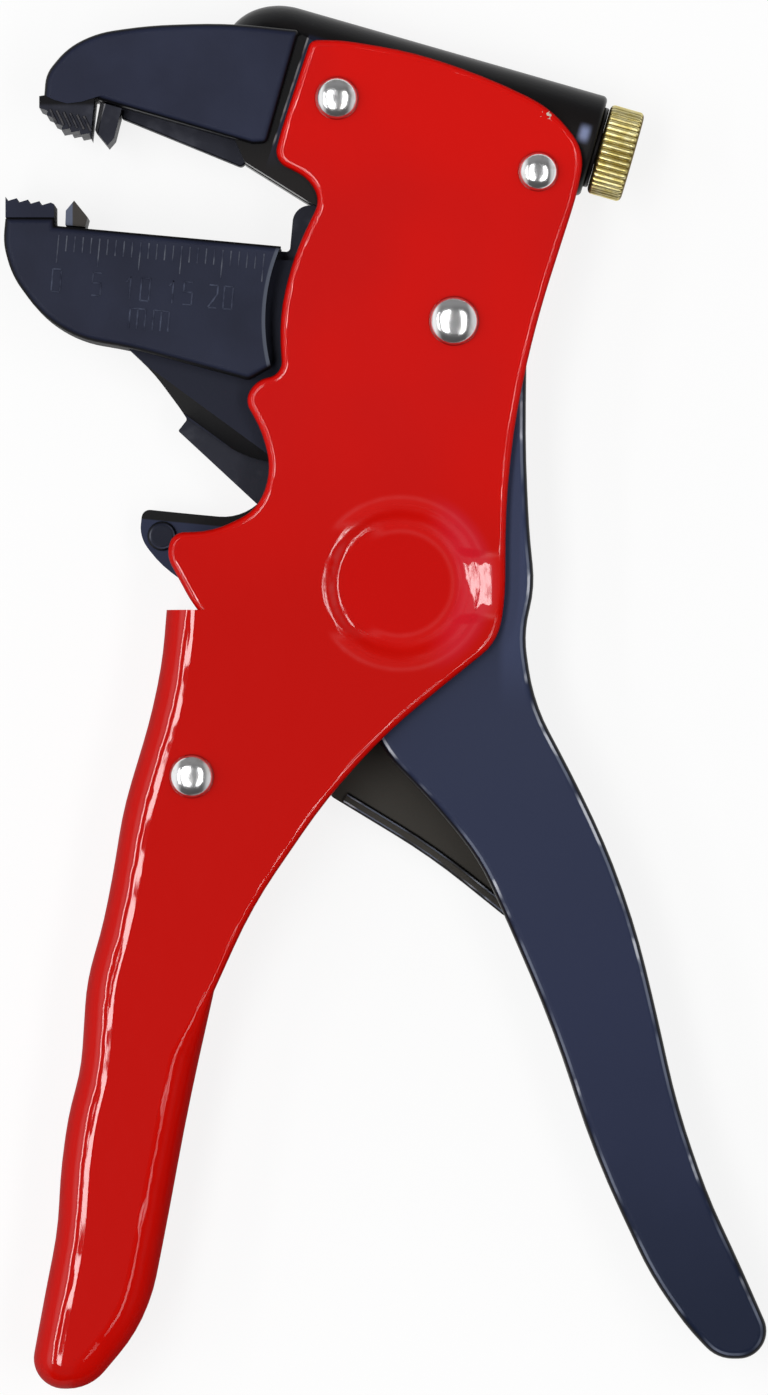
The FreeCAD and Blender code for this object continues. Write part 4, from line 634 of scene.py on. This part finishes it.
KNOB_AXIS = Vector(joints["adjuster_turn"]["axis"])


def skin(name, points, looped=False):
    """A closed skin over a grid of points. Each row is a ring that turns clockwise as seen along the
    rows' way. Where the skin is looped, the last ring meets the first; otherwise a fan closes both."""
    rows, columns = points.shape[:2]
    here = np.arange(rows * columns).reshape(rows, columns)
    beside = np.roll(here, -1, axis=1)
    walls = np.stack([here, np.roll(here, -1, axis=0), np.roll(beside, -1, axis=0), beside], axis=-1)
    faces = walls[: rows if looped else rows - 1].reshape(-1, 4).tolist()
    vertices = points.reshape(-1, 3)
    if not looped:
        vertices = np.concatenate([vertices, [points[0].mean(axis=0), points[-1].mean(axis=0)]])
        faces += np.stack([here[0], beside[0], np.full(columns, rows * columns)], axis=-1).tolist()
        faces += np.stack([beside[-1], here[-1], np.full(columns, rows * columns + 1)], axis=-1).tolist()
    mesh = bpy.data.meshes.new(name)
    mesh.from_pydata(vertices.tolist(), [], faces)
    mesh.shade_smooth()
    return mesh


def angles(count):
    """Equal angles round the whole turn."""
    return np.arange(count) * 2 * np.pi / count


def spokes(axis, turn):
    """Directions square to an axis: cosine of the angle to one side, sine of it to the other."""
    side = axis.orthogonal().normalized()
    return np.outer(np.cos(turn), side) + np.outer(np.sin(turn), axis.cross(side))


def turned(name, middle, axis, radii, heights, looped=False):
    """A closed skin round an axis. Each row of the radii is a ring at a height along the axis, and its
    columns stand at equal angles round the whole turn: point = middle + height * axis + radius * spoke.
    The rings run from the axis's far end back."""
    around = spokes(axis, angles(radii.shape[1]))
    points = np.array(middle) + heights[..., None] * np.array(axis) + radii[..., None] * around
    return skin(name, points, looped)


brass = Finish("knurled_brass", Metallic=1.0)
reach = brass.place.away(KNOB_MIDDLE)
along_axis = brass.place.along(KNOB_AXIS) - KNOB_MIDDLE.dot(KNOB_AXIS)
radius = (reach * reach - along_axis * along_axis).root()
polished = radius.rise(*POLISHED_FADE)
smear = brass.place.noise(SMEAR_SIZE, 4.0)
metal = smear.rise(0.35, 0.7).colour(BRASS, BRASS_WORN)
brass.link("Base Color", polished.colour(TARNISH, metal))
brass.link("Roughness", BRASS_ROUGHNESS + BRASS_UNEVEN * (smear - polished))
brass.link("Normal", brass.place.noise(BRASS_GRAIN, 3.0).bump(BRASS_RELIEF))

# The rings run over a quarter-ellipse bevel at either end and into a blind bore. The knurl's depth
# fades with the bevel, and between two ridges it follows 1 - |cosine|, a round ridge and a sharp valley.
bevel = np.linspace(0, np.pi / 2, BEVEL_RINGS)
bevel_heights = KNOB_LENGTH / 2 - BEVEL_LENGTH * (1 - np.cos(bevel))
bevel_radii = KNOB_RADIUS - BEVEL_DEPTH * (1 - np.sin(bevel))
bore_heights = [-KNOB_LENGTH / 2, BORE_DEPTH - KNOB_LENGTH / 2]
knob_heights = np.concatenate([bevel_heights, -bevel_heights[::-1], bore_heights])[:, None]
knob_radii = np.concatenate([bevel_radii, bevel_radii[::-1], [BORE_RADIUS, BORE_RADIUS]])[:, None]
knurl = np.concatenate([np.sin(bevel), np.sin(bevel)[::-1], [0, 0]])[:, None] ** 2 * KNURL_DEPTH
ridge_turn = KNURL_RIDGES / 2 * angles(KNURL_RIDGES * POINTS_PER_RIDGE)
valley = 1 - np.abs(np.cos(ridge_turn)) ** KNURL_POWER
knob = turned("knurled_knob", KNOB_MIDDLE, KNOB_AXIS, knob_radii - knurl * valley, knob_heights)
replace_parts(add_piece("knurled_knob", knob, brass, "adjuster"), "adjuster_knob")

# Rivets: four domed rivets, bright plated, headed on the near plate and peened flat on the far
# one. The heading tool leaves the domes a little flat on top and softly dented.
PLATED = (0.86, 0.86, 0.87, 1.0)
PLATED_DULL = (0.70, 0.68, 0.65, 1.0)
SEAM_GRIME_AND_SHADE = (0.06, 0.05, 0.05, 1.0)
SEAM_BEGIN, SEAM_FADE = (-2 * MM, -1 * MM), (0.35 * MM, 0.85 * MM)
DULL_SIZE, PLATED_ROUGHNESS, PLATED_UNEVEN = 1.1 * MM, 0.16, 0.08
WAVE_SIZE, WAVE_HEIGHT = 1.6 * MM, 0.025 * MM
NEAR_FACE, FAR_FACE, TAIL_FACE = 16.8 * MM, 0.8 * MM, 0.0
DOME_HEIGHT, DOME_POWER, DOME_RINGS, DOME_TOP = 1.69 * MM, 2.5, 40, 0.03
RIVET_SIDES = 96
DENT = 0.012 * MM
TAIL_EXTRA, TAIL_ROUND = 0.9 * MM, 0.3 * MM
RIVETS = [
    ("front_rivet", 2.6 * MM, 1.9 * MM),
    ("rear_rivet", 2.4 * MM, 1.7 * MM),
    ("main_pivot_rivet", 3.0 * MM, 2.4 * MM),
    ("stop_rivet", 2.65 * MM, 1.8 * MM),
]

chrome = Finish("rivet_plating", Metallic=1.0)
dull = chrome.place.noise(DULL_SIZE, 4.0)
plated = dull.rise(0.5, 0.8).colour(PLATED, PLATED_DULL)
# Partly grime and partly painted contact shadow: a dark ring on each dome just above the plate.
above_plate = chrome.place.parts()[2] - NEAR_FACE
seam = above_plate.rise(*SEAM_BEGIN) * (1.0 - above_plate.rise(*SEAM_FADE))
chrome.link("Base Color", seam.colour(plated, SEAM_GRIME_AND_SHADE))
chrome.link("Roughness", PLATED_ROUGHNESS + PLATED_UNEVEN * dull)
chrome.link("Normal", chrome.place.noise(WAVE_SIZE, 1.0).bump(WAVE_HEIGHT))

# A dome is a quarter of a superellipse turned round the rivet's axis, and its dents are waves that
# wind round it. Below it follow the head's underside, the shank and the tail.
slope = np.linspace(DOME_TOP, np.pi / 2, DOME_RINGS)[:, None]
turn = angles(RIVET_SIDES)
even = np.ones_like(turn)
for number, (name, head, shank) in enumerate(RIVETS):
    low, high = (Vector(corner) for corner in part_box(name))
    foot = Vector(((low.x + high.x) / 2, (low.y + high.y) / 2, 0.0))
    dents = DENT * np.sin(2 * slope) * np.sin(3 * turn + 4 * slope + 2 * number)
    dome = NEAR_FACE + DOME_HEIGHT * np.cos(slope) ** (2 / DOME_POWER) + dents
    dome_radii = head * np.sin(slope) ** (2 / DOME_POWER) * even
    tail = shank + TAIL_EXTRA
    stem = np.array([NEAR_FACE, NEAR_FACE, FAR_FACE, FAR_FACE, TAIL_ROUND, TAIL_FACE])[:, None] * even
    stem_radii = np.array([head, shank, shank, tail, tail, tail - TAIL_ROUND])[:, None] * even
    radii, heights = np.concatenate([dome_radii, stem_radii]), np.concatenate([dome, stem])
    mesh = turned("dented_" + name, foot, Vector((0, 0, 1)), radii, heights)
    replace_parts(add_piece("dented_" + name, mesh, chrome, "frame"), name)

# Pieces held inside, bush, sleeve, washers, springs, plunger and seat: turned or drawn bright steel
# under a film of oil, left unplated. The cutter's rivets are of the same steel.
BRIGHT = (0.50, 0.50, 0.52, 1.0)
OILY = (0.30, 0.27, 0.22, 1.0)
OIL_SIZE, BRIGHT_ROUGHNESS, OIL_UNEVEN = 2 * MM, 0.22, 0.2
DRAW_MARKS, DRAW_DEPTH = 0.3 * MM, 0.008 * MM

bright = Finish("oiled_steel", Metallic=1.0)
oil = bright.place.noise(OIL_SIZE, 3.0)
bright.link("Base Color", oil.rise(0.45, 0.7).colour(BRIGHT, OILY))
bright.link("Roughness", BRIGHT_ROUGHNESS + OIL_UNEVEN * oil)
bright.link("Normal", bright.place.noise(DRAW_MARKS).bump(DRAW_DEPTH))
bright.onto("pivot_bush", "stop_sleeve", "pivot_washers", "return_spring", "cutter_rivets")
bright.onto("plunger", "spring_seat")

# Adjusting screw: bright steel with a cut thread, a turn to the millimetre, and a plain neck on
# which the knob is pressed. The thread is a triangle wave of height less turn, run out at its ends.
THREAD_MOUTH, THREAD_REACH = -2.75 * MM, 4.0 * MM
THREAD_PITCH = 1.0 * MM
THREAD_ROOT, THREAD_CREST = 2.45 * MM, 2.9 * MM
THREAD_RINGS, THREAD_SIDES = 49, 72
NECK_RADIUS, NECK_END = 2.0 * MM, 1.3 * MM

turn = angles(THREAD_SIDES)
thread_heights = THREAD_MOUTH - np.linspace(0, THREAD_REACH, THREAD_RINGS)[:, None]
flank = np.abs(2 * np.mod(thread_heights / THREAD_PITCH - turn / (2 * np.pi), 1) - 1)
runout = np.minimum(thread_heights - thread_heights[-1], thread_heights[0] - thread_heights) / THREAD_PITCH
thread_radii = THREAD_ROOT + (THREAD_CREST - THREAD_ROOT) * flank * np.minimum(1, 2 * runout)
screw_radii = np.concatenate([np.full((2, THREAD_SIDES), NECK_RADIUS), thread_radii])
screw_heights = np.concatenate([[[NECK_END], [THREAD_MOUTH]], thread_heights])
screw = turned("threaded_screw", KNOB_MIDDLE, KNOB_AXIS, screw_radii, screw_heights)
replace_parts(add_piece("threaded_screw", screw, bright, "adjuster"), "adjuster_screw")

# Collar: the turned-down end of the casting's tube, up to which the knob is screwed. It has the
# upper jaw's coat, and its outer edge is eased.
COLLAR_INNER, COLLAR_OUTER = 3.05 * MM, 5.0 * MM
COLLAR_FROM, COLLAR_TO = -2.80 * MM, -2.20 * MM
COLLAR_EASE = 0.15 * MM
COLLAR_SIDES = 96

collar_profile = np.array([
    (COLLAR_INNER, COLLAR_TO),
    (COLLAR_OUTER - COLLAR_EASE, COLLAR_TO),
    (COLLAR_OUTER, COLLAR_TO - COLLAR_EASE),
    (COLLAR_OUTER, COLLAR_FROM),
    (COLLAR_INNER, COLLAR_FROM),
])
collar_radii, collar_heights = collar_profile[:, :1] * np.ones(COLLAR_SIDES), collar_profile[:, 1:]
collar = turned("tube_collar", KNOB_MIDDLE, KNOB_AXIS, collar_radii, collar_heights, looped=True)
add_piece("tube_collar", collar, upper_coat, "frame")

# Blade spring: drawn wire, coiled between the plunger and the seat. It rides with the upper blade's
# slide.
SPRING_FOOT, SPRING_HEAD = -22.15 * MM, -8.15 * MM
SPRING_RADIUS, SPRING_WIRE = 2.32 * MM, 0.4 * MM
SPRING_TURNS = 8
RINGS_PER_TURN, WIRE_SIDES = 40, 14


def coil(name, start, axis, rise, radius, turns, wire):
    """A round wire along a helix: point = start + rise * share * axis + radius * spoke + wire * section,
    where the section circles square to the wire's way, and the share and the spoke's angle grow together."""
    share = np.linspace(0, 1, turns * RINGS_PER_TURN + 1)
    spoke = spokes(axis, 2 * np.pi * turns * share)
    line = np.array(start) + rise * np.outer(share, axis) + radius * spoke
    way = np.gradient(line, axis=0)
    way = way / np.linalg.norm(way, axis=1, keepdims=True)
    around = angles(WIRE_SIDES)[:, None]
    section = np.cos(around) * spoke[:, None] + np.sin(around) * np.cross(spoke, way)[:, None]
    return skin(name, line[:, None] + wire * section)


spring_rise = SPRING_HEAD - SPRING_FOOT - 2 * SPRING_WIRE
spring_start = KNOB_MIDDLE + KNOB_AXIS * (SPRING_FOOT + SPRING_WIRE)
spring = coil("coil_spring", spring_start, KNOB_AXIS, spring_rise, SPRING_RADIUS, SPRING_TURNS, SPRING_WIRE)
spring = add_piece("coil_spring", spring, bright, "upper_blade_slide")
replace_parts(spring, "blade_spring")
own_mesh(spring)

# Table: a wide white sheet under the tool. It shows white wherever nothing shades it, to the
# camera and in the gloss of the metal, and takes the tool's soft shadow.
PAPER = (0.97, 0.97, 0.97, 1.0)
FLOOR_HALF = 3.0
SHADOW_SHARE = 0.16

corners = np.array([(-1, -1, 0), (1, -1, 0), (1, 1, 0), (-1, 1, 0)]) * FLOOR_HALF
sheet = bpy.data.meshes.new("table")
sheet.from_pydata(corners.tolist(), [], [(0, 1, 2, 3)])
table = bpy.data.objects.new("table", sheet)
bpy.context.scene.collection.objects.link(table)

paper = Finish("white_paper", Base_Color=PAPER, Roughness=0.9, Specular_IOR_Level=0.1)
camera_ray, gloss_ray, glass_ray = (
    paper.place.add("ShaderNodeLightPath", {}, {}, ray)
    for ray in ("Is Camera Ray", "Is Glossy Ray", "Is Transmission Ray")
)
seen = (camera_ray + gloss_ray + glass_ray).rise(0.0, 1.0)
glow = paper.place.add("ShaderNodeEmission", {}, {})
paper.mixed_with(seen * (1.0 - SHADOW_SHARE), glow)
sheet.materials.append(paper.material)

# Light: a dim room with pale walls to the left, to the right and beyond the jaws, and long soft
# boxes over both sides of the tool, which draw the white lines along the folds and on the rivets.
# Each box has its tilt from upright and its bearing in degrees, its width, length and brightness.
ROOM, LEFT_WALL, RIGHT_WALL, FAR_WALL = 0.08, 0.90, 0.60, 0.18
WALL_BEGIN, WALL_FULL, FAR_WALL_FADE = 0.55, 0.90, (0.25, 0.80)
BOX_TARGET = Vector((-8 * MM, -45 * MM, 16 * MM))
BOX_DISTANCE = 1.0
SOFT_BOXES = [
    ("left_box", 17.0, 180.0, 0.22, 0.80, 8.8),
    ("left_strip", 41.0, 180.0, 0.06, 0.80, 9.0),
    ("right_box", 20.0, 0.0, 0.16, 0.70, 6.0),
    ("lower_right_box", 26.0, -45.0, 0.14, 0.30, 4.0),
]

world = bpy.data.worlds.new("pale_room")
bpy.context.scene.world = world
world.use_nodes = True
room = world.node_tree.nodes["Background"]
room.inputs["Color"].default_value = (1.0, 1.0, 1.0, 1.0)
direction = world.node_tree.nodes.new("ShaderNodeTexCoord").outputs["Generated"]
sideways, endways, _ = Wire(world.node_tree, direction).parts()
strength = (
    ROOM
    + LEFT_WALL * (1.0 - sideways.rise(-WALL_FULL, -WALL_BEGIN))
    + RIGHT_WALL * sideways.rise(WALL_BEGIN, WALL_FULL)
    + FAR_WALL * endways.rise(*FAR_WALL_FADE)
)
world.node_tree.links.new(strength.socket, room.inputs["Strength"])

for name, tilt, bearing, width, length, brightness in SOFT_BOXES:
    lean = math.radians(tilt)
    turn = math.radians(bearing)
    way = Vector((math.sin(lean) * math.cos(turn), math.sin(lean) * math.sin(turn), math.cos(lean)))
    lamp = bpy.data.lights.new(name, "AREA")
    lamp.shape = "RECTANGLE"
    lamp.size = length
    lamp.size_y = width
    lamp.energy = brightness * math.pi * length * width
    holder = bpy.data.objects.new(name, lamp)
    holder.location = BOX_TARGET + way * BOX_DISTANCE
    holder.rotation_euler = (-way).to_track_quat("-Z", "Y").to_euler()
    bpy.context.scene.collection.objects.link(holder)

# Camera: straight above the tool, with a long lens, framed as the photograph is. The lens shows
# the near plate at the photograph's scale.
PICTURE_WIDTH, PICTURE_HEIGHT = 768, 1395
PIXELS_PER_MM = 8.25
PIVOT_PIXEL = (454, 321)
CAMERA_HEIGHT = 1.4
SENSOR = 36.0

height_seen = PICTURE_HEIGHT / PIXELS_PER_MM * MM
lens = bpy.data.cameras.new("camera")
lens.sensor_width = SENSOR
lens.lens = SENSOR * (CAMERA_HEIGHT - NEAR_FACE) / height_seen
camera = bpy.data.objects.new("camera", lens)
camera.location = (
    (PICTURE_WIDTH / 2 - PIVOT_PIXEL[0]) / PIXELS_PER_MM * MM,
    (PIVOT_PIXEL[1] - PICTURE_HEIGHT / 2) / PIXELS_PER_MM * MM,
    CAMERA_HEIGHT,
)
bpy.context.scene.collection.objects.link(camera)
bpy.context.scene.camera = camera
bpy.context.scene.view_settings.view_transform = "Standard"
